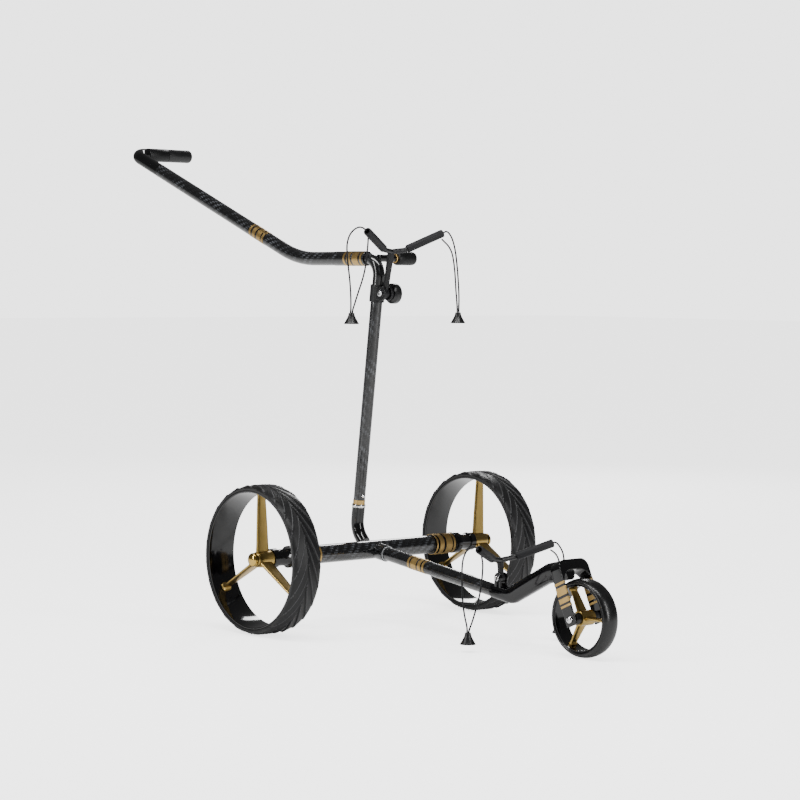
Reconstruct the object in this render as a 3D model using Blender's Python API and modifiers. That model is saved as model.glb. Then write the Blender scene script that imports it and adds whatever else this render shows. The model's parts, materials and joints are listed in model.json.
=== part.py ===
"""Electric golf trolley: a carbon frame on two driven wheels and one small front wheel.

Each sub-part is one object. A moving piece hangs from an empty on its joint's axis.
Lengths are in metres. +X is the trolley's right, +Y is forward and +Z is up.
Places are given from the point on the ground under the rear axle, and the root
empty then moves the model so that the origin is the middle of its base.
"""

import math

import bmesh
import bpy
from mathutils import Matrix, Vector

FIT_GAP = 0.0003

# Driven wheels and axle.
WHEEL_RADIUS = 0.1450
WHEEL_WIDTH = 0.0636
HALF_TRACK = 0.2828
RIM_INNER = 0.1300
RIM_OUTER = 0.1335
AXLE_TUBE_RADIUS = 0.0183
AXLE_TUBE_BORE = 0.0168
AXLE_TUBE_HALF = 0.1505
AXLE_SLEEVE_RADIUS = 0.0205
AXLE_SLEEVE_END = 0.2050
END_CAP_END = 0.2627
HUB_START = 0.2630
HUB_END = 0.3005
DOME_TRAVEL = 0.0025
DOME_END = 0.3120
MOTOR_START = 0.0300
MOTOR_END = 0.1200
GEARBOX_END = 0.1740
DRIVE_SHAFT_END = 0.2900
HEX_SHAFT_START = 0.2640

# Front wheel, fork, beam and front tube.
FRONT_AXLE = Vector((0, 0.5919, 0.0727))
FRONT_RADIUS = 0.0727
FRONT_RIM_INNER = 0.0592
FRONT_RIM_OUTER = 0.0612
FRONT_HALF_WIDTH = 0.0184
FORK_LEAN = math.radians(24.5)
FORK_TOP = 0.1100
FORK_ARCH = 0.0900
FORK_FOOT = 0.0120
FORK_HALF_WIDTH = 0.0378
FORK_LEG = 0.0038
FORK_DEPTH = 0.0260
FRONT_TUBE_RADIUS = 0.0133
FRONT_TUBE_SLOPE = -0.13
FRONT_STUB_RADIUS = 0.0166
FRONT_STUB_BORE = 0.0137
FRONT_STUB_END = 0.0400
FRONT_COLLAR_END = 0.0450
FRONT_TUBE_START = 0.0192
FRONT_TUBE_END = 0.3520
BEAM_END = 0.0935
BEAM_BEND = 0.0300
BEAM_START_HALVES = (0.0133, 0.0135)
BEAM_END_HALVES = (0.0110, 0.0190)

# Shaft, handle and grip.
SHAFT_RADIUS = 0.01175
SHAFT_FOOT = Vector((0, -0.0487, 0.2322))
SHAFT_LEAN = math.atan(0.1231)
SHAFT_BEND = 0.0330
SHAFT_START = 0.2045
SOCKET_RADIUS = 0.0130
SOCKET_TOP = 0.2260
SOCKET_FLOOR = 0.2030
SOCKET_CORNER = 0.1800
SOCKET_BEND = 0.0450
SNAP_BUTTON_HEIGHT = 0.2500
POST_PLACE = Vector((0, -0.0005, 0.7268))
HANDLE_HEIGHT = 0.7258
HANDLE_RADIUS = 0.0145
HANDLE_BORE = 0.0121
HANDLE_TUBE_RADIUS = 0.0139
HANDLE_WALL = 0.0018
HANDLE_SOCKET_FRONT = -0.0262
HANDLE_SOCKET_BACK = -0.1260
HANDLE_CORNER = Vector((0, -0.2480, 0.7258))
HANDLE_CURVE = 0.2800
HANDLE_TUBE_END = -0.7380
ELBOW_CORNER = Vector((0, -0.8415, 0.9602))
ELBOW_RADIUS = 0.0138
ELBOW_BEND = 0.0300
GRIP_RADIUS = 0.0147
GRIP_START = -0.0340
KNOB_START = -0.0880
GRIP_END = -0.1520
BUTTON_TRAVEL = 0.0015

# Bag brackets.
UPPER_PIVOT = Vector((0, 0.0272, 0.6566))
UPPER_JUNCTION = Vector((0, 0.0444, 0.7390))
UPPER_SLEEVE_START = Vector((0.0308, 0.0575, 0.7449))
UPPER_TIP = Vector((0.0987, 0.0876, 0.7776))
LOWER_PIVOT = Vector((0, 0.3700, 0.1240))
LOWER_JUNCTION = Vector((0, 0.3670, 0.1570))
LOWER_SLEEVE_START = Vector((0.0312, 0.3780, 0.1634))
LOWER_TIP = Vector((0.0958, 0.4114, 0.1877))
ARM_RADIUS = 0.0052
SLEEVE_BORE = 0.0055
SLEEVE_RADIUS = 0.0080

# Elastic bag cords, each a loop whose two legs meet in a cone-shaped pull.
CORD_RADIUS = 0.00165
CONE_RADIUS = 0.0146
CONE_HEIGHT = 0.0215
CONE_MOUTH = 0.0044
CONE_WALL = 0.0013
CONE_DROP = 0.0020
EYE_RADIUS = 0.0066
EYE_DROP = 0.0155

# A leg's points are (outward from the arm's tip, up from the arm's tip). On the left the two
# legs hang close together, and on the right they hang wide apart.
UPPER_LEGS = {
    "right": ([(0.0026, 0.0014), (0.0110, 0.0062), (0.0220, 0.0068), (0.0350, 0.0005), (0.0450, -0.0110),
               (0.0500, -0.0270), (0.0495, -0.0470), (0.0465, -0.0700), (0.0430, -0.0930),
               (0.0405, -0.1170), (0.0395, -0.1400), (0.0400, -0.1560)],
              [(0.0355, -0.1560), (0.0290, -0.1380), (0.0210, -0.1180), (0.0125, -0.0980),
               (0.0055, -0.0770), (0.0015, -0.0560), (-0.0010, -0.0370), (-0.0025, -0.0220),
               (-0.0028, -0.0126)]),
    "left": ([(0.0026, 0.0010), (0.0080, 0.0030), (0.0150, 0.0005), (0.0230, -0.0085), (0.0290, -0.0210),
              (0.0340, -0.0380), (0.0375, -0.0580), (0.0405, -0.0800), (0.0430, -0.1050),
              (0.0445, -0.1300), (0.0445, -0.1560)],
             [(0.0400, -0.1560), (0.0385, -0.1340), (0.0360, -0.1130), (0.0345, -0.0950),
              (0.0325, -0.0760), (0.0295, -0.0580), (0.0245, -0.0400), (0.0160, -0.0270),
              (0.0060, -0.0190), (-0.0028, -0.0126)]),
}
LOWER_LEGS = {
    "right": ([(0.0026, 0.0012), (0.0110, 0.0055), (0.0215, 0.0052), (0.0320, -0.0020), (0.0390, -0.0140),
               (0.0418, -0.0300), (0.0420, -0.0520), (0.0408, -0.0760), (0.0385, -0.1000),
               (0.0340, -0.1220), (0.0291, -0.1385), (0.0280, -0.1500)],
              [(0.0235, -0.1500), (0.0150, -0.1320), (0.0070, -0.1120), (-0.0010, -0.0900),
               (-0.0060, -0.0680), (-0.0090, -0.0470), (-0.0098, -0.0300), (-0.0085, -0.0200),
               (-0.0064, -0.0130)]),
    "left": ([(0.0026, 0.0010), (0.0100, -0.0010), (0.0190, -0.0095), (0.0270, -0.0225), (0.0295, -0.0380),
              (0.0290, -0.0550), (0.0270, -0.0760), (0.0250, -0.1000), (0.0235, -0.1230),
              (0.0225, -0.1370), (0.0225, -0.1500)],
             [(0.0180, -0.1500), (0.0165, -0.1300), (0.0165, -0.1080), (0.0175, -0.0860),
              (0.0185, -0.0640), (0.0185, -0.0480), (0.0155, -0.0340), (0.0085, -0.0230),
              (0.0000, -0.0165), (-0.0064, -0.0130)]),
}

X_AXIS = Vector((1, 0, 0))
Z_AXIS = Vector((0, 0, 1))

for old in list(bpy.data.objects):
    bpy.data.objects.remove(old)


def new_collection(name):
    collection = bpy.data.collections.new(name)
    bpy.context.scene.collection.children.link(collection)
    return collection


PARTS = new_collection("electric_golf_trolley")
CUTTERS = new_collection("cutters")


def finish(name, colour, roughness, metallic=0.0):
    """A plain material; colour is a hex string."""
    material = bpy.data.materials.new(name)
    material.use_nodes = True
    shader = material.node_tree.nodes["Principled BSDF"]
    red, green, blue = (int(colour[i:i + 2], 16) / 255 for i in (1, 3, 5))
    linear = [c / 12.92 if c <= 0.04045 else ((c + 0.055) / 1.055) ** 2.4 for c in (red, green, blue)]
    shader.inputs["Base Color"].default_value = (*linear, 1)
    shader.inputs["Roughness"].default_value = roughness
    shader.inputs["Metallic"].default_value = metallic
    return material


LACQUER = {"colour": "#0b0b0c", "roughness": 0.12}
CARBON = {"colour": "#17181a", "roughness": 0.22}
GOLD = {"colour": "#b8915a", "roughness": 0.32, "metallic": 1.0}
SILVER = {"colour": "#c9cacc", "roughness": 0.2, "metallic": 1.0}
STEEL = {"colour": "#8d9094", "roughness": 0.35, "metallic": 1.0}
RUBBER = {"colour": "#2c2d2e", "roughness": 0.7}
PLASTIC = {"colour": "#1b1c1d", "roughness": 0.45}
BRACKET = {"colour": "#3a3b3d", "roughness": 0.5}
CORD = {"colour": "#131314", "roughness": 0.8}
BOARD = {"colour": "#1d4a35", "roughness": 0.5}


def add(item, look, collection=PARTS):
    """Link an object; look is a dictionary of finish settings, and the object gets its own material."""
    collection.objects.link(item)
    item.data.materials.append(finish(item.name, **look))
    if collection is CUTTERS:
        item.hide_render = True
        item.display_type = "WIRE"
    return item


def smooth(mesh):
    mesh.shade_smooth()
    mesh.set_sharp_from_angle(angle=math.radians(35))


def turned(name, profile, look, at, along, steps=16, ring=False, collection=PARTS):
    """Turn (radius, height) points, top to bottom down the outer side, about the axis along."""
    mesh = bpy.data.meshes.new(name)
    count = len(profile)
    edges = [(i, i + 1) for i in range(count - 1)]
    if ring:
        edges.append((count - 1, 0))
    mesh.from_pydata([(radius, 0, height) for radius, height in profile], edges, [])
    item = bpy.data.objects.new(name, mesh)
    add(item, look, collection)
    item.location = at
    item.rotation_euler = Vector(along).to_track_quat("Z", "Y").to_euler()
    screw = item.modifiers.new("turn", "SCREW")
    screw.steps = steps
    screw.render_steps = steps
    screw.use_merge_vertices = True
    screw.merge_threshold = 0.00001
    return item


def rod(name, radius, start, end, look, at, along, steps=16, collection=PARTS):
    """A plain cylinder between two heights along its axis."""
    profile = [(0, end), (radius, end), (radius, start), (0, start)]
    return turned(name, profile, look, at, along, steps, collection=collection)


def pipe(name, outer, inner, start, end, look, at, along, steps=16, collection=PARTS):
    """A plain ring between two heights along its axis."""
    profile = [(inner, end), (outer, end), (outer, start), (inner, start)]
    return turned(name, profile, look, at, along, steps, ring=True, collection=collection)


def block(name, size, look, at, lean=0.0, collection=PARTS):
    """A box that leans back about X, with its size applied to the mesh."""
    mesh = bpy.data.meshes.new(name)
    shape = bmesh.new()
    bmesh.ops.create_cube(shape, size=1)
    bmesh.ops.scale(shape, vec=size, verts=shape.verts)
    shape.to_mesh(mesh)
    shape.free()
    item = bpy.data.objects.new(name, mesh)
    add(item, look, collection)
    item.location = at
    item.rotation_euler = (lean, 0, 0)
    return item


def filleted(corners, radius, step=0.35):
    """The corners' path with each inner corner turned into an arc, a point every step radians."""
    path = [Vector(corners[0])]
    for before, corner, after in zip(corners, corners[1:], corners[2:]):
        inward = (Vector(before) - Vector(corner)).normalized()
        outward = (Vector(after) - Vector(corner)).normalized()
        turn = math.pi - inward.angle(outward)
        reach = radius * math.tan(turn / 2)
        start = Vector(corner) + inward * reach
        side = (outward + inward * math.cos(turn)).normalized()
        count = max(2, math.ceil(turn / step))
        for k in range(count + 1):
            angle = turn * k / count
            path.append(start - inward * radius * math.sin(angle) + side * radius * (1 - math.cos(angle)))
    path.append(Vector(corners[-1]))
    return path


def tube(name, points, radius, look, sides=16, collection=PARTS, capped=True):
    """A round bar along points, as a curve with flat ends, or with open ends for a hollow tube."""
    curve = bpy.data.curves.new(name, "CURVE")
    curve.dimensions = "3D"
    curve.bevel_depth = radius
    curve.bevel_resolution = sides // 2 - 2
    curve.use_fill_caps = capped
    spline = curve.splines.new("POLY")
    spline.points.add(len(points) - 1)
    for point, place in zip(spline.points, points):
        point.co = (*place, 1)
    return add(bpy.data.objects.new(name, curve), look, collection)


def as_mesh(item, look, collection=PARTS):
    """Replace a curve object with a closed mesh of the same shape, so that it can be cut or joined."""
    name = item.name
    view = bpy.context.evaluated_depsgraph_get()
    mesh = bpy.data.meshes.new_from_object(item.evaluated_get(view))
    shape = bmesh.new()
    shape.from_mesh(mesh)
    bmesh.ops.remove_doubles(shape, verts=shape.verts, dist=0.00001)
    bmesh.ops.recalc_face_normals(shape, faces=shape.faces)
    shape.to_mesh(mesh)
    shape.free()
    mesh.materials.clear()
    place = item.matrix_world.copy()
    bpy.data.objects.remove(item)
    mesh.name = name
    solid = bpy.data.objects.new(name, mesh)
    solid.matrix_world = place
    return add(solid, look, collection)


def swept(name, stations, look, points=8, power=4.0, collection=PARTS):
    """A bar through stations (centre, half width along X, half thickness) with rounded flat sides."""
    shape = bmesh.new()
    rings = []
    centres = [Vector(station[0]) for station in stations]
    for i, (centre, half_x, half_thick) in enumerate(stations):
        heading = (centres[min(i + 1, len(centres) - 1)] - centres[max(i - 1, 0)]).normalized()
        across = heading.cross(X_AXIS).normalized()
        ring = []
        for k in range(points):
            angle = math.tau * (k + 0.5) / points
            c, s = math.cos(angle), math.sin(angle)
            u = math.copysign(abs(c) ** (2 / power), c)
            v = math.copysign(abs(s) ** (2 / power), s)
            ring.append(shape.verts.new(Vector(centre) + X_AXIS * half_x * u + across * half_thick * v))
        rings.append(ring)
    for lower, upper in zip(rings, rings[1:]):
        for k in range(points):
            following = (k + 1) % points
            shape.faces.new((lower[k], lower[following], upper[following], upper[k]))
    shape.faces.new(rings[0][::-1])
    shape.faces.new(rings[-1])
    bmesh.ops.recalc_face_normals(shape, faces=shape.faces)
    mesh = bpy.data.meshes.new(name)
    shape.to_mesh(mesh)
    shape.free()
    return add(bpy.data.objects.new(name, mesh), look, collection)


def combine(item, other, operation):
    """Cut other from item, or join it to item."""
    step = item.modifiers.new(other.name, "BOOLEAN")
    step.operation = operation
    step.object = other
    return item


def pivot(name, at, parent=None):
    """An empty on a joint's axis."""
    empty = bpy.data.objects.new(name, None)
    empty.empty_display_size = 0.02
    PARTS.objects.link(empty)
    empty.location = at
    if parent:
        carry(parent, empty)
    return empty


def carry(parent, *items):
    """Parent items to an empty and leave them where they are."""
    for item in items:
        item.parent = parent
        item.matrix_parent_inverse = Matrix.Translation(parent.location).inverted()


def mirrored(point, side):
    return Vector((point[0] * side, point[1], point[2]))


def on_wheel(centre, angle, radius, x):
    """A point of a wheel at an angle from forward, towards up."""
    return Vector((x, centre[1] + radius * math.cos(angle), centre[2] + radius * math.sin(angle)))


AXLE = Vector((0, 0, WHEEL_RADIUS))
FRONT_DIRECTION = Vector((0, 1, FRONT_TUBE_SLOPE)).normalized()
SHAFT_DIRECTION = Vector((0, math.sin(SHAFT_LEAN), math.cos(SHAFT_LEAN)))
FORK_UP = Vector((0, -math.sin(FORK_LEAN), math.cos(FORK_LEAN)))
FORK_FORWARD = Vector((0, math.cos(FORK_LEAN), math.sin(FORK_LEAN)))
SIDES = (("right", 1), ("left", -1))

root = pivot("trolley_root", (0, 0, 0))


def shaft_at(height):
    """The point of the shaft's centre line at a height above the ground."""
    return SHAFT_FOOT + SHAFT_DIRECTION * ((height - SHAFT_FOOT.z) / SHAFT_DIRECTION.z)


def axle_housing():
    """The hollow axle tube with its front stub, and the two sockets' collars."""
    housing = pipe("axle_tube", AXLE_TUBE_RADIUS, AXLE_TUBE_BORE, -AXLE_TUBE_HALF, AXLE_TUBE_HALF,
                   CARBON, AXLE, X_AXIS, 20)
    stub = pipe("front_stub", FRONT_STUB_RADIUS, FRONT_STUB_BORE, 0.0040, FRONT_STUB_END, CARBON, AXLE,
                FRONT_DIRECTION, collection=CUTTERS)
    combine(housing, stub, "UNION")
    front_collar = pipe("front_collar", FRONT_STUB_RADIUS + FIT_GAP, FRONT_STUB_BORE,
                        FRONT_STUB_END + FIT_GAP, FRONT_COLLAR_END, SILVER, AXLE, FRONT_DIRECTION)
    corner = shaft_at(SOCKET_CORNER)
    foot = corner + Vector((0, 0.0431, -0.0431))
    path = filleted([shaft_at(SOCKET_TOP), corner, foot], SOCKET_BEND)
    elbow = as_mesh(tube("shaft_socket", path, SOCKET_RADIUS, LACQUER), LACQUER)
    around_axle = rod("socket_axle_cut", AXLE_TUBE_RADIUS + FIT_GAP, -0.04, 0.04, LACQUER, AXLE, X_AXIS, 32,
                      CUTTERS)
    bore = rod("socket_bore_cut", SHAFT_RADIUS + FIT_GAP, 0, 0.04, LACQUER, shaft_at(SOCKET_FLOOR),
               SHAFT_DIRECTION, collection=CUTTERS)
    combine(elbow, around_axle, "DIFFERENCE")
    combine(elbow, bore, "DIFFERENCE")
    shaft_collar = pipe("shaft_collar", 0.0136, SHAFT_RADIUS + FIT_GAP, 0.0004, 0.0060, SILVER,
                        shaft_at(SOCKET_TOP), SHAFT_DIRECTION)
    board = block("controller_board", (0.0420, 0.0016, 0.0200), BOARD, AXLE + Vector((0, -0.0090, 0)))
    carry(root, housing, front_collar, elbow, shaft_collar, board)


def drive_side(side_name, side):
    """One end of the axle, with its motor, gearbox, drive shaft and wheel."""
    out = X_AXIS * side
    sleeve = pipe(f"{side_name}_axle_sleeve", AXLE_SLEEVE_RADIUS, AXLE_TUBE_BORE, AXLE_TUBE_HALF + FIT_GAP,
                  AXLE_SLEEVE_END, LACQUER, AXLE, out, 20)
    cap_profile = [(0.0062, END_CAP_END), (0.0185, END_CAP_END), (0.0185, 0.2500), (0.0160, 0.2495),
                   (0.0160, 0.2225), (0.0215, 0.2215), (0.0215, AXLE_SLEEVE_END + FIT_GAP),
                   (0.0113, AXLE_SLEEVE_END + FIT_GAP), (0.0113, 0.2495), (0.0062, 0.2495)]
    end_cap = turned(f"{side_name}_axle_end", cap_profile, LACQUER, AXLE, out, 20, ring=True)
    bearing = pipe(f"{side_name}_axle_bearing", 0.0110, 0.0058, 0.2400, 0.2490, STEEL, AXLE, out)
    case_profile = [(0.0130, MOTOR_END), (0.0164, MOTOR_END), (0.0164, MOTOR_START), (0.0030, MOTOR_START),
                    (0.0030, MOTOR_START + 0.003), (0.0130, MOTOR_START + 0.003)]
    motor_case = turned(f"{side_name}_motor_case", case_profile, STEEL, AXLE, out, 14, ring=True)
    gear_profile = [(0.0060, GEARBOX_END), (0.0164, GEARBOX_END), (0.0164, MOTOR_END + FIT_GAP),
                    (0.0034, MOTOR_END + FIT_GAP), (0.0034, 0.1460), (0.0060, 0.1460)]
    gearbox = turned(f"{side_name}_gearbox", gear_profile, STEEL, AXLE, out, 14, ring=True)
    carry(root, sleeve, end_cap, bearing, motor_case, gearbox)

    rotor_profile = [(0, 0.1440), (0.0026, 0.1440), (0.0026, 0.1120), (0.0124, 0.1120), (0.0124, 0.0400),
                     (0.0026, 0.0400), (0.0026, 0.0260), (0, 0.0260)]
    rotor = turned(f"{side_name}_motor_rotor", rotor_profile, STEEL, AXLE, out, 12)
    carry(pivot(f"{side_name}_rotor_axis", AXLE, root), rotor)

    shaft = rod(f"{side_name}_drive_shaft", 0.0051, 0.1470, HEX_SHAFT_START + 0.0100, STEEL, AXLE, out, 14)
    hexagon = rod(f"{side_name}_shaft_hexagon", 0.0064, HEX_SHAFT_START, DRIVE_SHAFT_END, STEEL, AXLE, out, 6,
                  CUTTERS)
    combine(shaft, hexagon, "UNION")
    spin = pivot(f"{side_name}_wheel_axis", AXLE, root)
    carry(spin, shaft)

    centre = AXLE + out * HALF_TRACK
    half = WHEEL_WIDTH / 2
    crown = [(0.1338, half - 0.0009), (0.1400, half), (0.1438, half - 0.0040),
             (WHEEL_RADIUS, half - 0.0150)]
    tyre_profile = crown + [(radius, -height) for radius, height in reversed(crown)]
    tyre = turned(f"{side_name}_tyre", tyre_profile, RUBBER, centre, out, 40, ring=True)
    rim = pipe(f"{side_name}_rim", RIM_OUTER, RIM_INNER, -0.0300, 0.0300, LACQUER, centre, out, 40)
    hub_profile = [(0, HUB_END), (0.0135, HUB_END), (0.0145, 0.2960), (0.0160, 0.2900), (0.0160, HUB_START),
                   (0, HUB_START)]
    hub = turned(f"{side_name}_wheel_hub", hub_profile, GOLD, AXLE, out, 16)
    for k in range(3):
        angle = math.pi / 2 + k * math.tau / 3
        reach = [(0.0100, 0.2825, 0.0148, 0.0045), (0.0300, 0.2828, 0.0142, 0.0038),
                 (0.1180, 0.2855, 0.0098, 0.0030), (0.1262, 0.2855, 0.0098, 0.0034),
                 (0.1265, 0.2855, 0.0104, 0.0090), (0.1288, 0.2855, 0.0104, 0.0096)]
        stations = [(on_wheel(AXLE, angle, r, x * side), w, t) for r, x, w, t in reach]
        spoke = swept(f"{side_name}_spoke_{k + 1}", stations, GOLD, power=3.0, collection=CUTTERS)
        combine(hub, spoke, "UNION")
    hex_bore = rod(f"{side_name}_hub_bore_cut", 0.0068, 0.25, 0.31, GOLD, AXLE, out, 6, CUTTERS)
    combine(hub, hex_bore, "DIFFERENCE")
    pull = pivot(f"{side_name}_wheel_pull_axis", AXLE, spin)
    carry(pull, tyre, rim, hub)

    base = HUB_END + DOME_TRAVEL + FIT_GAP
    dome = [(0.0132 * math.cos(a), base + 0.0024 + (DOME_END - base - 0.0024) * math.sin(a))
            for a in (math.radians(d) for d in (90, 55, 25, 0))]
    dome_profile = [(0, dome[0][1])] + dome[1:] + [(0.0132, base), (0.0050, base), (0.0050, 0.2930),
                                                   (0, 0.2930)]
    button = turned(f"{side_name}_release_button", dome_profile, GOLD, AXLE, out, 16)
    carry(pivot(f"{side_name}_release_axis", AXLE, pull), button)


def front_frame():
    """The front tube, the bent beam and the fork, which pull out of the axle's front stub together."""
    pull = pivot("front_tube_axis", AXLE, root)
    start = AXLE + FRONT_DIRECTION * FRONT_TUBE_START
    end = AXLE + FRONT_DIRECTION * (FRONT_TUBE_END / FRONT_DIRECTION.y)
    front_tube = rod("front_tube", FRONT_TUBE_RADIUS, 0, (end - start).length, CARBON, start,
                     FRONT_DIRECTION, 20)
    beam_start = end + FRONT_DIRECTION * FIT_GAP
    beam_end = FRONT_AXLE + FORK_UP * BEAM_END
    centres = filleted([beam_start, (0, 0.3990, 0.0930), (0, 0.5000, 0.1450), beam_end], BEAM_BEND, 0.25)
    count = len(centres) - 1
    stations = [(point, *(a + (b - a) * i / count for a, b in zip(BEAM_START_HALVES, BEAM_END_HALVES)))
                for i, point in enumerate(centres)]
    beam = swept("front_beam", stations, LACQUER, points=12, power=3.0)
    for side_name, side in SIDES:
        ear_profile = [(0, 0.0105), (0.0085, 0.0105), (0.0085, 0.0058), (0, 0.0058)]
        ear = turned(f"{side_name}_ear", ear_profile, LACQUER, LOWER_PIVOT, X_AXIS * side, 20,
                     collection=CUTTERS)
        web = block(f"{side_name}_ear_web", (0.0044, 0.0160, 0.0220), LACQUER,
                    LOWER_PIVOT + Vector((side * 0.0082, 0, -0.0110)), collection=CUTTERS)
        combine(beam, ear, "UNION")
        combine(beam, web, "UNION")
    pin_hole = rod("lower_pivot_cut", 0.0033, -0.03, 0.03, LACQUER, LOWER_PIVOT, X_AXIS, 16, CUTTERS)
    combine(beam, pin_hole, "DIFFERENCE")
    fork_room = block("beam_end_cut", (0.1, 0.1, 0.2), LACQUER,
                      FRONT_AXLE + FORK_UP * 0.09 + FORK_FORWARD * (0.05 - FORK_DEPTH / 2 - FIT_GAP),
                      lean=FORK_LEAN, collection=CUTTERS)
    combine(beam, fork_room, "DIFFERENCE")

    fork = fork_yoke()
    bolt_profile = [(0, 0.0425), (0.0045, 0.0422), (0.0067, 0.0400), (0.0067, 0.0381), (0.0037, 0.0381),
                    (0.0037, -0.0381), (0.0060, -0.0381), (0.0060, -0.0420), (0, -0.0420)]
    bolt = turned("front_axle_bolt", bolt_profile, SILVER, FRONT_AXLE, X_AXIS, 20)
    carry(pull, front_tube, beam, fork, bolt)
    front_wheel(pull)
    lower_bracket(pull)


def fork_yoke():
    """An inverted U across the front wheel: a flat outline given a thickness, leaning back."""
    outline = [Vector((FORK_HALF_WIDTH, -FORK_FOOT, 0)), Vector((FORK_HALF_WIDTH, FORK_TOP, 0)),
               Vector((-FORK_HALF_WIDTH, FORK_TOP, 0)), Vector((-FORK_HALF_WIDTH, -FORK_FOOT, 0))]
    inner = FORK_HALF_WIDTH - FORK_LEG
    opening = [Vector((-inner, -FORK_FOOT, 0)), Vector((-inner, FORK_ARCH, 0)),
               Vector((inner, FORK_ARCH, 0)), Vector((inner, -FORK_FOOT, 0))]
    points = filleted(outline, 0.0170, 0.4) + filleted(opening, 0.0240, 0.4)
    curve = bpy.data.curves.new("front_fork", "CURVE")
    curve.dimensions = "2D"
    curve.fill_mode = "BOTH"
    curve.extrude = FORK_DEPTH / 2
    spline = curve.splines.new("POLY")
    spline.points.add(len(points) - 1)
    for point, place in zip(spline.points, points):
        point.co = (*place, 1)
    spline.use_cyclic_u = True
    item = add(bpy.data.objects.new("front_fork", curve), LACQUER)
    item.matrix_world = Matrix.Translation(FRONT_AXLE) @ Matrix((
        (1, 0, 0, 0), (0, FORK_UP.y, -FORK_FORWARD.y, 0), (0, FORK_UP.z, -FORK_FORWARD.z, 0), (0, 0, 0, 1)))
    bpy.context.view_layer.update()
    fork = as_mesh(item, LACQUER)
    axle_hole = rod("fork_axle_cut", 0.0040, -0.05, 0.05, LACQUER, FRONT_AXLE, X_AXIS, 20, CUTTERS)
    return combine(fork, axle_hole, "DIFFERENCE")


def front_wheel(parent):
    spin = pivot("front_wheel_axis", FRONT_AXLE, parent)
    half = FRONT_HALF_WIDTH
    crown = [(0.0615, half - 0.0024), (0.0650, half), (0.0695, half - 0.0030), (0.0720, half - 0.0100),
             (FRONT_RADIUS, 0)]
    profile = crown + [(radius, -height) for radius, height in reversed(crown[:-1])]
    tyre = turned("front_tyre", profile, RUBBER, FRONT_AXLE, X_AXIS, 32, ring=True)
    rim = pipe("front_rim", FRONT_RIM_OUTER, FRONT_RIM_INNER, -0.0165, 0.0165, LACQUER, FRONT_AXLE, X_AXIS,
               32)
    hub_profile = [(0, 0.0300), (0.0110, 0.0300), (0.0110, 0.0165), (0.0140, 0.0165), (0.0140, -0.0165),
                   (0.0110, -0.0165), (0.0110, -0.0300), (0, -0.0300)]
    hub = turned("front_wheel_hub", hub_profile, GOLD, FRONT_AXLE, X_AXIS, 16)
    for k in range(3):
        angle = k * math.tau / 3
        reach = [(0.0080, 0.0120, 0.0045), (0.0200, 0.0110, 0.0036), (0.0540, 0.0080, 0.0028),
                 (0.0556, 0.0085, 0.0064), (0.0580, 0.0085, 0.0066)]
        stations = [(on_wheel(FRONT_AXLE, angle, r, 0), w, t) for r, w, t in reach]
        spoke = swept(f"front_spoke_{k + 1}", stations, GOLD, power=3.0, collection=CUTTERS)
        combine(hub, spoke, "UNION")
    bore = rod("front_hub_bore_cut", 0.0040, -0.04, 0.04, GOLD, FRONT_AXLE, X_AXIS, 20, CUTTERS)
    combine(hub, bore, "DIFFERENCE")
    carry(spin, tyre, rim, hub)


def elastic_loop(name, side, tip, legs, parent):
    """An elastic cord from an arm's tip out, down through its cone and back to the arm."""
    outer, inner = legs
    bottom = (Vector(outer[-1]) + Vector(inner[0])) / 2
    eye = [(bottom.x + EYE_RADIUS * math.cos(a), bottom.y - EYE_DROP + EYE_RADIUS * math.sin(a))
           for a in (math.radians(d) for d in range(45, -226, -30))]
    route = [tip + Vector((side * x, 0, z)) for x, z in outer + eye + inner]
    cord = tube(f"{name}_cord", evenly(route, 0.0095), CORD_RADIUS, CORD, 8)
    top = tip + Vector((side * bottom.x, 0, bottom.y - CONE_DROP))
    outside = [(CONE_MOUTH + CONE_WALL, 0), (CONE_RADIUS * 0.56, -CONE_HEIGHT * 0.35),
               (CONE_RADIUS, -CONE_HEIGHT)]
    inside = [(radius - CONE_WALL, height) for radius, height in reversed(outside)]
    cone = turned(f"{name}_cone", outside + inside, PLASTIC, top, Z_AXIS, 14, ring=True)
    carry(parent, cord, cone)


def evenly(route, spacing):
    """Points at about the same spacing on a smooth curve through the route's points."""
    ends = [route[0] * 2 - route[1]] + list(route) + [route[-1] * 2 - route[-2]]
    fine = []
    for a, b, c, d in zip(ends, ends[1:], ends[2:], ends[3:]):
        for k in range(16):
            t = k / 16
            fine.append(((b * 2) + (c - a) * t + (a * 2 - b * 5 + c * 4 - d) * t * t
                         + (b * 3 - a - c * 3 + d) * t * t * t) / 2)
    fine.append(route[-1])
    lengths = [0.0]
    for one, two in zip(fine, fine[1:]):
        lengths.append(lengths[-1] + (two - one).length)
    count = round(lengths[-1] / spacing)
    points = []
    index = 0
    for k in range(count + 1):
        wanted = lengths[-1] * k / count
        while index < len(fine) - 2 and lengths[index + 1] < wanted:
            index += 1
        part = (wanted - lengths[index]) / (lengths[index + 1] - lengths[index])
        points.append(fine[index].lerp(fine[index + 1], min(part, 1.0)))
    return points


def bag_arms(name, bracket, junction, sleeve_start, tip, parent):
    """The two arms of a bag bracket, each joined to it and ending in a rubber sleeve."""
    for side_name, side in SIDES:
        start, end = mirrored(sleeve_start, side), mirrored(tip, side)
        heading = (end - start).normalized()
        path = filleted([junction - X_AXIS * side * 0.0037, start - heading * 0.0060,
                         end - heading * 0.0140], 0.0150, 0.5)
        arm = as_mesh(tube(f"{name}_{side_name}_arm", path, ARM_RADIUS, BRACKET, 12), BRACKET, CUTTERS)
        combine(bracket, arm, "UNION")
        length = (end - start).length
        sleeve = pipe(f"{name}_{side_name}_sleeve", SLEEVE_RADIUS, SLEEVE_BORE, 0, length, RUBBER, start,
                      heading, 16)
        carry(parent, sleeve)


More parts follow.
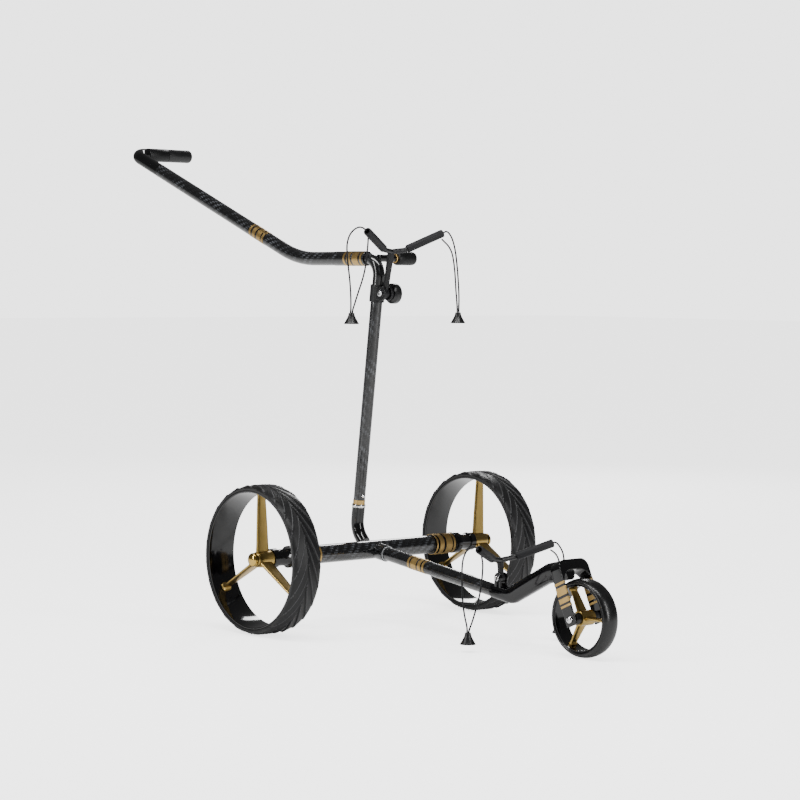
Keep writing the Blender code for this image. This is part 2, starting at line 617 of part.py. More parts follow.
def upper_bracket(parent):
    """The clamp on the shaft, and the tilting bag bracket with its knob."""
    height = UPPER_PIVOT.z
    clamp = pipe("upper_clamp", 0.0150, SHAFT_RADIUS + FIT_GAP, -0.0170, 0.0170, BRACKET, shaft_at(height),
                 SHAFT_DIRECTION, 20)
    for side_name, side in SIDES:
        out = X_AXIS * side
        ear = rod(f"upper_{side_name}_ear", 0.0140, 0.0058, 0.0118, BRACKET, UPPER_PIVOT, out, 16, CUTTERS)
        web = block(f"upper_{side_name}_ear_web", (0.0060, 0.0120, 0.0240), BRACKET,
                    UPPER_PIVOT + Vector((side * 0.0088, -0.0140, 0)), collection=CUTTERS)
        combine(clamp, ear, "UNION")
        combine(clamp, web, "UNION")
    stud_hole = rod("upper_stud_cut", 0.0043, -0.03, 0.03, BRACKET, UPPER_PIVOT, X_AXIS, 20, CUTTERS)
    shaft_room = rod("upper_clamp_room", SHAFT_RADIUS + FIT_GAP, -0.03, 0.03, BRACKET, shaft_at(height),
                     SHAFT_DIRECTION, 20, CUTTERS)
    eye_room = rod("upper_eye_room", 0.0099, -0.0054, 0.0054, BRACKET, UPPER_PIVOT, X_AXIS, 16, CUTTERS)
    for cutter in (stud_hole, shaft_room, eye_room):
        combine(clamp, cutter, "DIFFERENCE")
    carry(parent, clamp)

    tilt = pivot("upper_bracket_axis", UPPER_PIVOT, parent)
    stations = [(UPPER_PIVOT.lerp(UPPER_JUNCTION, t), w, d) for t, w, d in (
        (0.06, 0.0046, 0.0056), (0.14, 0.0047, 0.0058), (0.50, 0.0050, 0.0060), (0.95, 0.0060, 0.0065),
        (1.05, 0.0060, 0.0060))]
    bracket = swept("upper_bag_bracket", stations, BRACKET)
    eye = rod("upper_bracket_eye", 0.0095, -0.0051, 0.0051, BRACKET, UPPER_PIVOT, X_AXIS, 16, CUTTERS)
    combine(bracket, eye, "UNION")
    bag_arms("upper", bracket, UPPER_JUNCTION, UPPER_SLEEVE_START, UPPER_TIP, tilt)
    combine(bracket, stud_hole, "DIFFERENCE")
    carry(tilt, bracket)
    for side_name, side in SIDES:
        elastic_loop(f"upper_{side_name}", side, mirrored(UPPER_TIP, side),
                     UPPER_LEGS[side_name], tilt)

    knob_profile = [(0, 0.0165), (0.0045, 0.0163), (0.0060, 0.0150), (0.0060, 0.0122), (0.0040, 0.0122),
                    (0.0040, -0.0122), (0.0095, -0.0122), (0.0210, -0.0160), (0.0210, -0.0270),
                    (0.0180, -0.0300), (0, -0.0300)]
    knob = turned("upper_clamp_knob", knob_profile, PLASTIC, UPPER_PIVOT, X_AXIS, 16)
    carry(pivot("upper_knob_axis", UPPER_PIVOT, parent), knob)


def lower_bracket(parent):
    """The bag bracket that folds on the front beam."""
    fold = pivot("lower_bracket_axis", LOWER_PIVOT, parent)
    stations = [(LOWER_PIVOT.lerp(LOWER_JUNCTION, t), w, d) for t, w, d in (
        (0.13, 0.0046, 0.0058), (0.60, 0.0050, 0.0055), (0.95, 0.0058, 0.0062), (1.14, 0.0058, 0.0054))]
    bracket = swept("lower_bag_bracket", stations, BRACKET)
    eye = rod("lower_bracket_eye", 0.0080, -0.0052, 0.0052, BRACKET, LOWER_PIVOT, X_AXIS, 20, CUTTERS)
    combine(bracket, eye, "UNION")
    bag_arms("lower", bracket, LOWER_JUNCTION, LOWER_SLEEVE_START, LOWER_TIP, fold)
    hole = rod("lower_eye_cut", 0.0033, -0.02, 0.02, BRACKET, LOWER_PIVOT, X_AXIS, 16, CUTTERS)
    combine(bracket, hole, "DIFFERENCE")
    carry(fold, bracket)
    for side_name, side in SIDES:
        elastic_loop(f"lower_{side_name}", side, mirrored(LOWER_TIP, side),
                     LOWER_LEGS[side_name], fold)
    pin_profile = [(0, 0.0142), (0.0050, 0.0138), (0.0058, 0.0125), (0.0058, 0.0108), (0.0030, 0.0108),
                   (0.0030, -0.0108), (0.0055, -0.0108), (0.0055, -0.0138), (0, -0.0138)]
    pin = turned("lower_bracket_bolt", pin_profile, SILVER, LOWER_PIVOT, X_AXIS, 16)
    carry(parent, pin)


def shaft_and_handle():
    """The shaft that pulls up out of its socket, and all that it carries."""
    pull = pivot("shaft_axis", SHAFT_FOOT, root)
    top_end = Vector((0, HANDLE_SOCKET_BACK + 0.0120, HANDLE_HEIGHT))
    path = filleted([shaft_at(SHAFT_START), shaft_at(HANDLE_HEIGHT), top_end], SHAFT_BEND, 0.28)
    shaft = as_mesh(tube("shaft_tube", path, SHAFT_RADIUS, CARBON, 20), CARBON)
    forward = SHAFT_DIRECTION.cross(X_AXIS)
    button_place = shaft_at(SNAP_BUTTON_HEIGHT)
    pocket = rod("button_pocket_cut", 0.0038, 0.0060, 0.0200, CARBON, button_place, forward, 16, CUTTERS)
    combine(shaft, pocket, "DIFFERENCE")
    carry(pull, shaft)
    button_profile = [(0, 0.0142), (0.0022, 0.0138), (0.0035, 0.0125), (0.0035, 0.0085), (0, 0.0085)]
    button = turned("shaft_snap_button", button_profile, SILVER, button_place, forward, 16)
    carry(pivot("snap_button_axis", button_place, pull), button)

    post_profile = [(0, -0.0130), (0.0075, -0.0130), (0.0075, -0.0490), (0.0110, -0.0500), (0.0138, -0.0520),
                    (0.0138, -0.0950), (0.0115, -0.0985), (0, -0.0985)]
    post = turned("accessory_post", post_profile, RUBBER, POST_PLACE, X_AXIS, 20)
    post_room = tube("post_room_path", path, SHAFT_RADIUS + FIT_GAP, CARBON, 20, CUTTERS)
    combine(post, as_mesh(post_room, CARBON, CUTTERS), "DIFFERENCE")
    carry(pull, post)
    upper_bracket(pull)
    handle(pull)


def handle(parent):
    """The handle that slides off the shaft's bent top, with its grip, speed knob and button."""
    slide = pivot("handle_axis", (0, HANDLE_SOCKET_FRONT, HANDLE_HEIGHT), parent)
    back = Vector((0, -1, 0))
    socket = pipe("handle_socket", HANDLE_RADIUS, HANDLE_BORE, 0, HANDLE_SOCKET_FRONT - HANDLE_SOCKET_BACK,
                  CARBON, (0, HANDLE_SOCKET_FRONT, HANDLE_HEIGHT), back, 20)
    rise = (ELBOW_CORNER - HANDLE_CORNER).normalized()
    tube_end = HANDLE_CORNER + rise * ((HANDLE_TUBE_END - HANDLE_CORNER.y) / rise.y)
    start = Vector((0, HANDLE_SOCKET_BACK - FIT_GAP, HANDLE_HEIGHT))
    path = filleted([start, HANDLE_CORNER, tube_end], HANDLE_CURVE, 0.05)
    handle_tube = as_mesh(tube("handle_tube", path, HANDLE_TUBE_RADIUS, CARBON, 16, capped=False), CARBON)
    wall = handle_tube.modifiers.new("wall", "SOLIDIFY")
    wall.thickness = HANDLE_WALL
    wall.offset = -1
    grip_point = ELBOW_CORNER + X_AXIS * GRIP_START
    elbow = tube("handle_elbow", filleted([tube_end + rise * FIT_GAP, ELBOW_CORNER, grip_point], ELBOW_BEND,
                                          0.28), ELBOW_RADIUS, LACQUER, 20)
    out = X_AXIS * -1
    grip_profile = [(0, -KNOB_START - FIT_GAP), (GRIP_RADIUS, -KNOB_START - FIT_GAP),
                    (GRIP_RADIUS, -GRIP_START + 0.0020), (GRIP_RADIUS - 0.0012, -GRIP_START + FIT_GAP),
                    (0, -GRIP_START + FIT_GAP)]
    grip = turned("grip", grip_profile, RUBBER, ELBOW_CORNER, out, 20)
    socket_cut = rod("grip_shaft_cut", 0.0033, -KNOB_START - 0.0160, -KNOB_START + 0.001, RUBBER,
                     ELBOW_CORNER, out, 16, CUTTERS)
    combine(grip, socket_cut, "DIFFERENCE")
    carry(slide, socket, handle_tube, elbow, grip)

    end = -GRIP_END
    knob_profile = [(0, end - 0.0040), (0.0066, end - 0.0040), (0.0066, end), (0.0108, end),
                    (0.0134, end - 0.0018), (0.0147, end - 0.0060), (GRIP_RADIUS, -KNOB_START),
                    (0.0030, -KNOB_START), (0.0030, -KNOB_START - 0.0150), (0, -KNOB_START - 0.0150)]
    knob = turned("speed_knob", knob_profile, PLASTIC, ELBOW_CORNER, out, 20)
    turn = pivot("speed_knob_axis", ELBOW_CORNER, slide)
    carry(turn, knob)
    button = rod("power_button", 0.0063, end - 0.0040 + BUTTON_TRAVEL + FIT_GAP, end + 0.0012, SILVER,
                 ELBOW_CORNER, out, 20)
    carry(pivot("power_button_axis", ELBOW_CORNER, turn), button)


axle_housing()
for wheel_name, wheel_side in SIDES:
    drive_side(wheel_name, wheel_side)
front_frame()
shaft_and_handle()

for part in PARTS.objects:
    if part.type == "MESH":
        smooth(part.data)
for cutter in CUTTERS.objects:
    carry(root, cutter)

# The origin is the middle of the base, halfway between the grip's back and the front tyre.
front_reach = FRONT_AXLE.y + FRONT_RADIUS
back_reach = ELBOW_CORNER.y - GRIP_RADIUS
root.location = (0, -(front_reach + back_reach) / 2, 0)
bpy.context.view_layer.update()
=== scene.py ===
"""The looks of an electric golf trolley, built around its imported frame.

Each sub-assembly is a class that builds its own pieces, and each finish is a frozen
dataclass that builds its own material. Lengths are in metres unless a name says mm.
+X is the trolley's right, +Y is forward and +Z is up. Design places are counted from
the point on the ground under the rear axle, and Datum moves them into the frame.
"""

from __future__ import annotations

import json
import logging
import math
from dataclasses import dataclass, field
from enum import Enum
from typing import Any, Callable, Iterable, Sequence

import bmesh
import bpy
from mathutils import Matrix, Vector

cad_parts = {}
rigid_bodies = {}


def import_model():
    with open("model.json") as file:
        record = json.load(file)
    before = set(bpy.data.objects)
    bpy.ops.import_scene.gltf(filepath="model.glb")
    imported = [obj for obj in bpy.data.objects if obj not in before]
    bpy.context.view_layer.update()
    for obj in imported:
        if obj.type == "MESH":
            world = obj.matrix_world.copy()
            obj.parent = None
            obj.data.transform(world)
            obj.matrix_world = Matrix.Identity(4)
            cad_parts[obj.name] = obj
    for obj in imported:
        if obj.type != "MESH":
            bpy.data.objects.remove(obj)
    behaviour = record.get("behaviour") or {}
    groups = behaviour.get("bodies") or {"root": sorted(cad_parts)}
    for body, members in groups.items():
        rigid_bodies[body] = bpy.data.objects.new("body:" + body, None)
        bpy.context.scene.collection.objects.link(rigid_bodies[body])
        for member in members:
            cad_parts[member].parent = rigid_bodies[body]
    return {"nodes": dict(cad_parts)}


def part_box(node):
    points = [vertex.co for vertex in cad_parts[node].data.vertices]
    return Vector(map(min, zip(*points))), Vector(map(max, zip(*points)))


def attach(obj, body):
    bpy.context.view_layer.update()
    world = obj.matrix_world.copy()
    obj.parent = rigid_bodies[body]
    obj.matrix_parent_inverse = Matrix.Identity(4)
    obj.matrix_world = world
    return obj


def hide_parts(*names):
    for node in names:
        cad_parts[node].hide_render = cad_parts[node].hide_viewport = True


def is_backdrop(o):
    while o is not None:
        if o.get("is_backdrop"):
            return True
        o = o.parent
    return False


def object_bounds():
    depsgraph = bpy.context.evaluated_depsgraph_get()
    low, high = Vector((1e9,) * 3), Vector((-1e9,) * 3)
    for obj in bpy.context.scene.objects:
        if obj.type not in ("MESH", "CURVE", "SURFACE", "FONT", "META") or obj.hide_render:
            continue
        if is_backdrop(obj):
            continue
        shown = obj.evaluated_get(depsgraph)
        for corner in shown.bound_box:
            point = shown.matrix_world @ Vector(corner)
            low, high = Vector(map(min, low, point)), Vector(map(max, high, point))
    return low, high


LOG = logging.getLogger("trolley")
MM = 0.001
MATHS = "ShaderNodeMath"
# The share of each tread leaf on either side of its rib's crest, where the rib rises and falls.
RIB_SHARE = 0.07
# How much each tread leaf falls from its rib to its tail, and how high it starts.
LEAF_FALL = -0.62
LEAF_TOP = 0.66
# Where the tread fades out below the tyre's crown, and over how much height.
TREAD_FOOT = 0.0060
TREAD_FADE = 0.0035
X_AXIS = Vector((1, 0, 0))
Z_AXIS = Vector((0, 0, 1))
# The rear axle's height, and the way that the front tube runs down from it.
AXLE_HEIGHT = 0.1450
FRONT_WAY = Vector((0, 1, -0.13)).normalized()
# The shaft's run of Y for each metre of height, its foot, and the way it rises.
SHAFT_LEAN = 0.1231
SHAFT_FOOT_Y = -0.0487
SHAFT_FOOT_Z = 0.2322
SHAFT_RISE = Vector((0, SHAFT_LEAN, 1)).normalized()
# A turned outline's radius where it meets its own axis: just above nothing, so the pole closes.
AXIS = 0.00001
# Points of a mesh that are nearer than this are one point.
SAME_POINT = 0.000001
# How far a gold band's middle stands off its bar, and how thick the band is.
BAND_GAP = 0.0002
BAND_SKIN = 0.0005
Profile = Sequence[tuple[float, float]]


class Side(Enum):
    """The trolley's two sides, each with the sign of its X."""

    RIGHT = 1
    LEFT = -1

    @property
    def label(self) -> str:
        """The side's word in node and body names."""
        return self.name.lower()


class Level(Enum):
    """The two bag brackets."""

    UPPER = "upper"
    LOWER = "lower"


# ---------------------------------------------------------------- nodes and finishes


def linear(code: str) -> tuple[float, float, float, float]:
    """Turns an sRGB hex colour into linear light.

    Args:
        code: The colour, such as "#b8935a".

    Returns:
        Red, green, blue and an alpha of 1.
    """
    parts = [int(code[i:i + 2], 16) / 255 for i in (1, 3, 5)]
    light = [c / 12.92 if c <= 0.04045 else ((c + 0.055) / 1.055) ** 2.4 for c in parts]
    return (*light, 1.0)


def add_node(tree: bpy.types.NodeTree, kind: str, inputs: dict[Any, Any] | Sequence[Any] = (),
             **settings: Any) -> bpy.types.Node:
    """Adds one node, with its settings and what goes into it.

    Args:
        tree: The tree that the node joins.
        kind: The node's type name.
        inputs: A value or a socket to link, by the input's name or number, or one for each
            input in turn.
        settings: The node's own properties.

    Returns:
        The node.
    """
    node = tree.nodes.new(kind)
    for name, value in settings.items():
        setattr(node, name, value)
    named = inputs if isinstance(inputs, dict) else dict(enumerate(inputs))
    for name, value in named.items():
        if isinstance(value, bpy.types.NodeSocket):
            tree.links.new(value, node.inputs[name])
        else:
            node.inputs[name].default_value = value
    return node


@dataclass(frozen=True)
class Finish:
    """A surface finish: what the real material is, and how it takes light.

    Each finish adds its own grain by overriding dress.
    """

    name: str
    slot: str
    colour: str
    roughness: float
    metallic: float = 0.0
    coat: float = 0.0
    specular: float = 0.5

    def material(self) -> bpy.types.Material:
        """The finish's material, made once."""
        found = bpy.data.materials.get(self.name)
        if found:
            return found
        made = bpy.data.materials.new(self.name)
        made.use_nodes = True
        shader = made.node_tree.nodes["Principled BSDF"]
        shader.inputs["Base Color"].default_value = linear(self.colour)
        shader.inputs["Roughness"].default_value = self.roughness
        shader.inputs["Metallic"].default_value = self.metallic
        shader.inputs["Coat Weight"].default_value = self.coat
        shader.inputs["Coat Roughness"].default_value = 0.04
        shader.inputs["Specular IOR Level"].default_value = self.specular
        made.diffuse_color = linear(self.colour)
        made.roughness = self.roughness
        made.metallic = self.metallic
        self.dress(made.node_tree, shader)
        return made

    def dress(self, tree: bpy.types.NodeTree, shader: bpy.types.Node) -> None:
        """Adds the grain that every finish has: a slow change of roughness.

        Args:
            tree: The material's nodes.
            shader: Its shader.
        """
        self.vary_roughness(tree, shader, 14.0, 0.10)

    def grain(self, tree: bpy.types.NodeTree, size_mm: float, detail: float = 2.0,
              stretch: Vector | None = None) -> bpy.types.NodeSocket:
        """Noise with features of a real size, from 0 to 1.

        Args:
            tree: The material's nodes.
            size_mm: The size of one feature.
            detail: How much finer noise lies on it.
            stretch: How much each axis is squeezed, for a brushed grain.

        Returns:
            The noise's value.
        """
        place = add_node(tree, "ShaderNodeTexCoord").outputs["Object"]
        if stretch is not None:
            place = add_node(tree, "ShaderNodeMapping", {"Vector": place, "Scale": stretch}).outputs[0]
        return add_node(tree, "ShaderNodeTexNoise",
                        {"Vector": place, "Scale": 1 / (size_mm * MM), "Detail": detail}).outputs[0]

    def vary_roughness(self, tree: bpy.types.NodeTree, shader: bpy.types.Node, size_mm: float,
                       share: float) -> None:
        """Lets the roughness drift by a share of itself over patches of a real size."""
        drift = add_node(tree, MATHS, (self.grain(tree, size_mm), 2 * share * self.roughness,
                                       self.roughness * (1 - share)), operation="MULTIPLY_ADD")
        tree.links.new(drift.outputs[0], shader.inputs["Roughness"])

    def raise_bump(self, tree: bpy.types.NodeTree, shader: bpy.types.Node, height: Any,
                   depth_mm: float, strength: float = 1.0) -> None:
        """Turns a height from 0 to 1 into a relief of a real depth."""
        bump = add_node(tree, "ShaderNodeBump", {"Height": height, "Distance": depth_mm * MM,
                                                 "Strength": strength})
        tree.links.new(bump.outputs[0], shader.inputs["Normal"])


@dataclass(frozen=True)
class CarbonTwill(Finish):
    """Carbon cloth in 2 by 2 twill under clear lacquer: each tow crosses two others at a time.

    Each tow that lies over is painted lighter along its crown, in small diagonal steps: a painted highlight
    that stands for the light the tows take in turn, stronger in random patches, under a wet, even gloss.
    The pattern follows the piece's own map, whose unit is one tow. Real tows are about 2 mm
    wide; they are drawn at 4.5 mm, because finer ones are lost at this size.
    """

    # The colour of the painted highlight on the crowns of the tows that lie over.
    bright: str = "#4a4c50"
    patch_mm: float = 26.0
    relief_mm: float = 0.05

    def dress(self, tree: bpy.types.NodeTree, shader: bpy.types.Node) -> None:
        """Weaves warp over weft, paints a highlight on the crowns of the tows that lie over, and lets the
        lacquer's gloss lie over both.

        Args:
            tree: The material's nodes.
            shader: Its shader.
        """
        place = add_node(tree, "ShaderNodeUVMap", uv_map="UVMap").outputs[0]
        floors, crowns = [], []
        for tows in add_node(tree, "ShaderNodeSeparateXYZ", (place,)).outputs[:2]:
            floors.append(add_node(tree, MATHS, (tows,), operation="FLOOR").outputs[0])
            half_turns = add_node(tree, MATHS, (tows, math.pi), operation="MULTIPLY").outputs[0]
            wave = add_node(tree, MATHS, (half_turns,), operation="SINE").outputs[0]
            crowns.append(add_node(tree, MATHS, (wave,), operation="ABSOLUTE").outputs[0])
        step = add_node(tree, MATHS, floors, operation="ADD").outputs[0]
        phase = add_node(tree, MATHS, (step, 4.0), operation="FLOORED_MODULO").outputs[0]
        over = add_node(tree, MATHS, (phase, 1.5), operation="LESS_THAN").outputs[0]
        tow = add_node(tree, "ShaderNodeMix", {0: over, 2: crowns[1], 3: crowns[0]}).outputs[0]
        # Painted highlight: the crown of each tow that lies over is painted in the bright colour, stronger
        # in random patches.
        narrowed = add_node(tree, MATHS, (crowns[0], 1.5), operation="POWER").outputs[0]
        dash = add_node(tree, MATHS, (over, narrowed), operation="MULTIPLY").outputs[0]
        patches = add_node(tree, MATHS, (self.grain(tree, self.patch_mm, 3.0), 5.0, -2.35),
                           operation="MULTIPLY_ADD", use_clamp=True).outputs[0]
        shine = add_node(tree, MATHS, (patches, 0.86, 0.08), operation="MULTIPLY_ADD").outputs[0]
        painted_highlight_mask = add_node(tree, MATHS, (dash, shine), operation="MULTIPLY").outputs[0]
        colour = add_node(tree, "ShaderNodeMix", {0: painted_highlight_mask, 6: linear(self.colour), 7: linear(self.bright)},
                          data_type="RGBA")
        tree.links.new(colour.outputs[2], shader.inputs["Base Color"])
        rough = add_node(tree, MATHS, (over, -0.10, self.roughness), operation="MULTIPLY_ADD").outputs[0]
        tree.links.new(rough, shader.inputs["Roughness"])
        self.raise_bump(tree, shader, tow, self.relief_mm, 0.35)


@dataclass(frozen=True)
class Lacquer(Finish):
    """Sprayed and polished lacquer: deep, with the faintest waviness in its reflections."""

    def dress(self, tree: bpy.types.NodeTree, shader: bpy.types.Node) -> None:
        """Adds the spray's long waves and a little handling haze."""
        self.vary_roughness(tree, shader, 22.0, 0.25)
        self.raise_bump(tree, shader, self.grain(tree, 6.0, 1.0), 0.02, 0.25)


@dataclass(frozen=True)
class Anodised(Finish):
    """Turned and anodised aluminium: a satin metal with fine tool lines under the dye."""

    wear: str = "#d3ac70"
    line_mm: float = 1.2
    patch_mm: float = 18.0
    relief_mm: float = 0.01

    def dress(self, tree: bpy.types.NodeTree, shader: bpy.types.Node) -> None:
        """Adds tool lines, and a lighter tone where the dye took less.

        Args:
            tree: The material's nodes.
            shader: Its shader.
        """
        lines = self.grain(tree, self.line_mm, 3.0, Vector((6.0, 1.0, 1.0)))
        patches = self.grain(tree, self.patch_mm)
        worn = add_node(tree, MATHS, (patches, 0.45), operation="MULTIPLY").outputs[0]
        colour = add_node(tree, "ShaderNodeMix", {0: worn, 6: linear(self.colour), 7: linear(self.wear)},
                          data_type="RGBA")
        tree.links.new(colour.outputs[2], shader.inputs["Base Color"])
        rough = add_node(tree, MATHS, (lines, 0.14, self.roughness - 0.07), operation="MULTIPLY_ADD")
        tree.links.new(rough.outputs[0], shader.inputs["Roughness"])
        self.raise_bump(tree, shader, lines, self.relief_mm, 0.3)


@dataclass(frozen=True)
class Steel(Finish):
    """Plated or machined steel: bright, with short scratches that catch the light."""

    scratch_mm: float = 0.9
    relief_mm: float = 0.008

    def dress(self, tree: bpy.types.NodeTree, shader: bpy.types.Node) -> None:
        """Adds fine scratches along the work.

        Args:
            tree: The material's nodes.
            shader: Its shader.
        """
        lines = self.grain(tree, self.scratch_mm, 4.0, Vector((1.0, 1.0, 7.0)))
        rough = add_node(tree, MATHS, (lines, 0.12, self.roughness - 0.06), operation="MULTIPLY_ADD")
        tree.links.new(rough.outputs[0], shader.inputs["Roughness"])
        self.raise_bump(tree, shader, lines, self.relief_mm, 0.3)


@dataclass(frozen=True)
class Moulded(Finish):
    """Moulded rubber or plastic: it carries its tool's etched texture, and scuffs pale."""

    grain_mm: float = 0.8
    depth_mm: float = 0.05
    scuff: str = "#5a5a5c"
    scuffed: float = 0.35
    patch_mm: float = 16.0

    def dress(self, tree: bpy.types.NodeTree, shader: bpy.types.Node) -> None:
        """Adds the etched texture and pale scuffs.

        Args:
            tree: The material's nodes.
            shader: Its shader.
        """
        place = add_node(tree, "ShaderNodeTexCoord").outputs["Object"]
        cells = add_node(tree, "ShaderNodeTexVoronoi",
                         {"Vector": place, "Scale": 1 / (self.grain_mm * MM)}).outputs["Distance"]
        patches = self.grain(tree, self.patch_mm, 3.0)
        strongest = add_node(tree, MATHS, (patches, 2.0), operation="POWER").outputs[0]
        pale = add_node(tree, MATHS, (strongest, self.scuffed), operation="MULTIPLY").outputs[0]
        colour = add_node(tree, "ShaderNodeMix", {0: pale, 6: linear(self.colour), 7: linear(self.scuff)},
                          data_type="RGBA")
        tree.links.new(colour.outputs[2], shader.inputs["Base Color"])
        rough = add_node(tree, MATHS, (patches, 0.16, self.roughness - 0.08), operation="MULTIPLY_ADD")
        tree.links.new(rough.outputs[0], shader.inputs["Roughness"])
        self.raise_bump(tree, shader, cells, self.depth_mm, 0.6)


@dataclass(frozen=True)
class Tread(Moulded):
    """Tyre tread rubber: the raised edge of each leaf is painted lighter, a painted highlight that stands
    for the thin line of light it takes.

    The tread's own "ridge" attribute, from 0 to 1, says where a leaf's edge stands.
    """

    # The colour of the painted highlight along each leaf's raised edge.
    ridge: str = "#5c5c5e"

    def dress(self, tree: bpy.types.NodeTree, shader: bpy.types.Node) -> None:
        """Paints a highlight along each leaf's raised edge, over the moulded rubber.

        Args:
            tree: The material's nodes.
            shader: Its shader.
        """
        super().dress(tree, shader)
        ridge = add_node(tree, "ShaderNodeAttribute", attribute_name="ridge").outputs["Fac"]
        base = shader.inputs["Base Color"].links[0].from_socket
        # Painted highlight: a thin lighter line along each leaf's raised edge.
        thin = add_node(tree, MATHS, (ridge, 1.6), operation="POWER").outputs[0]
        ridge_highlight = add_node(tree, "ShaderNodeMix", {0: thin, 6: base, 7: linear(self.ridge)},
                          data_type="RGBA")
        tree.links.new(ridge_highlight.outputs[2], shader.inputs["Base Color"])


@dataclass(frozen=True)
class Braid(Finish):
    """A braided polyester cover: two sets of yarn cross on the slant round an elastic core.

    The pattern follows the cord's own map, whose unit is one yarn.
    """

    # The colour of the painted highlight on the raised yarn.
    bright: str = "#2e2e31"

    def dress(self, tree: bpy.types.NodeTree, shader: bpy.types.Node) -> None:
        """Crosses the two sets of yarn, lets each stand a little proud in turn, and paints it lighter where
        it stands high and darker where it lies low, as painted highlight and shade.

        Args:
            tree: The material's nodes.
            shader: Its shader.
        """
        place = add_node(tree, "ShaderNodeUVMap", uv_map="UVMap").outputs[0]
        around, along = add_node(tree, "ShaderNodeSeparateXYZ", (place,)).outputs[:2]
        waves = []
        for slant in ("ADD", "SUBTRACT"):
            yarns = add_node(tree, MATHS, (around, along), operation=slant).outputs[0]
            turns = add_node(tree, MATHS, (yarns, math.tau), operation="MULTIPLY").outputs[0]
            waves.append(add_node(tree, MATHS, (turns,), operation="SINE").outputs[0])
        crossed = add_node(tree, MATHS, waves, operation="MULTIPLY").outputs[0]
        yarn = add_node(tree, MATHS, (crossed, 0.5, 0.5), operation="MULTIPLY_ADD").outputs[0]
        # Painted highlight and shade: the yarn is painted lighter where it stands high and darker where it
        # lies low.
        colour = add_node(tree, "ShaderNodeMix", {0: yarn, 6: linear(self.colour), 7: linear(self.bright)},
                          data_type="RGBA")
        tree.links.new(colour.outputs[2], shader.inputs["Base Color"])
        self.raise_bump(tree, shader, yarn, 0.12, 0.7)
        shader.inputs["Sheen Weight"].default_value = 0.15


@dataclass(frozen=True)
class CircuitBoard(Finish):
    """Glass-filled board under green solder mask, with copper runs showing paler."""

    run: str = "#2f7a4c"
    pitch_mm: float = 1.2

    def dress(self, tree: bpy.types.NodeTree, shader: bpy.types.Node) -> None:
        """Draws plain runs at an even pitch.

        Args:
            tree: The material's nodes.
            shader: Its shader.
        """
        place = add_node(tree, "ShaderNodeTexCoord").outputs["Object"]
        height = add_node(tree, "ShaderNodeSeparateXYZ", (place,)).outputs[2]
        pace = math.tau / (self.pitch_mm * MM)
        turns = add_node(tree, MATHS, (height, pace), operation="MULTIPLY").outputs[0]
        wave = add_node(tree, MATHS, (turns,), operation="SINE").outputs[0]
        runs = add_node(tree, MATHS, (wave, 0.35), operation="GREATER_THAN").outputs[0]
        colour = add_node(tree, "ShaderNodeMix", {0: runs, 6: linear(self.colour), 7: linear(self.run)},
                          data_type="RGBA")
        tree.links.new(colour.outputs[2], shader.inputs["Base Color"])


CARBON = CarbonTwill("lacquered_carbon_twill", "carbon_tube", "#040405", 0.30, coat=1.0, specular=0.25)
LACQUER = Lacquer("polished_black_lacquer", "gloss_lacquer", "#050506", 0.09)
GOLD = Anodised("gold_anodised_aluminium", "gold_anodised", "#a18a4b", 0.30, metallic=1.0)
BAND_GOLD = Anodised("satin_gold_band", "gold_anodised", "#ba995c", 0.36, metallic=1.0, wear="#cdb07a")
BRIGHT_GOLD = Anodised("polished_gold_aluminium", "gold_anodised", "#bb9c4a", 0.14, metallic=1.0)
CHROME = Steel("polished_steel", "polished_steel", "#d6d7d9", 0.16, metallic=1.0)
MACHINED = Steel("machined_steel", "machined_steel", "#8d8f92", 0.38, metallic=1.0)
TYRE = Tread("moulded_tyre_rubber", "tyre_rubber", "#0d0d0e", 0.44, specular=0.3,
             grain_mm=0.9, depth_mm=0.03, scuff="#2b2b2c", scuffed=0.25)
FRONT_TYRE = Moulded("smooth_tyre_rubber", "tyre_rubber", "#0a0a0b", 0.27, specular=0.4,
                     grain_mm=0.7, depth_mm=0.01, scuff="#242425", scuffed=0.15)
GRIP_RUBBER = Moulded("stippled_grip_rubber", "grip_rubber", "#060607", 0.42, specular=0.3,
                      grain_mm=1.1, depth_mm=0.12, scuff="#202021", scuffed=0.15)
SLEEVE_RUBBER = Moulded("foam_rubber_sleeve", "sleeve_rubber", "#141416", 0.62, specular=0.3,
                        grain_mm=0.6, depth_mm=0.08, scuff="#38383b", scuffed=0.30)
NYLON = Moulded("glass_filled_nylon", "bracket_plastic", "#0b0b0d", 0.38, specular=0.35,
                grain_mm=0.5, depth_mm=0.03, scuff="#29292b", scuffed=0.20)
KNOB_PLASTIC = Moulded("etched_black_plastic", "knob_plastic", "#0a0a0b", 0.34,
                       grain_mm=0.6, depth_mm=0.04, scuff="#222223", scuffed=0.15)
# The cord's bright colour is its painted highlight on the raised yarn.
CORD_COVER = Braid("braided_cord_cover", "cord_fabric", "#050506", 0.62, specular=0.15, bright="#101012")
BOARD = CircuitBoard("green_solder_mask", "circuit_board", "#1c5a36", 0.35)


# ---------------------------------------------------------------- places and meshes


@dataclass(frozen=True)
class Datum:
    """Turns design places into places in the frame."""

    forward: float

    @staticmethod
    def from_frame() -> Datum:
        """Reads the rear axle's place from the frame's own rear rim."""
        low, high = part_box("right_rim")
        return Datum((low[1] + high[1]) / 2)

    def at(self, x: float, y: float, z: float) -> Vector:
        """A design place, in the frame."""
        return Vector((x, y + self.forward, z))


def across(direction: Vector) -> tuple[Vector, Vector]:
    """Two directions square to one another and to the given one."""
    guide = X_AXIS if abs(direction.dot(X_AXIS)) < 0.9 else Z_AXIS
    first = (guide - direction * guide.dot(direction)).normalized()
    return first, direction.cross(first).normalized()


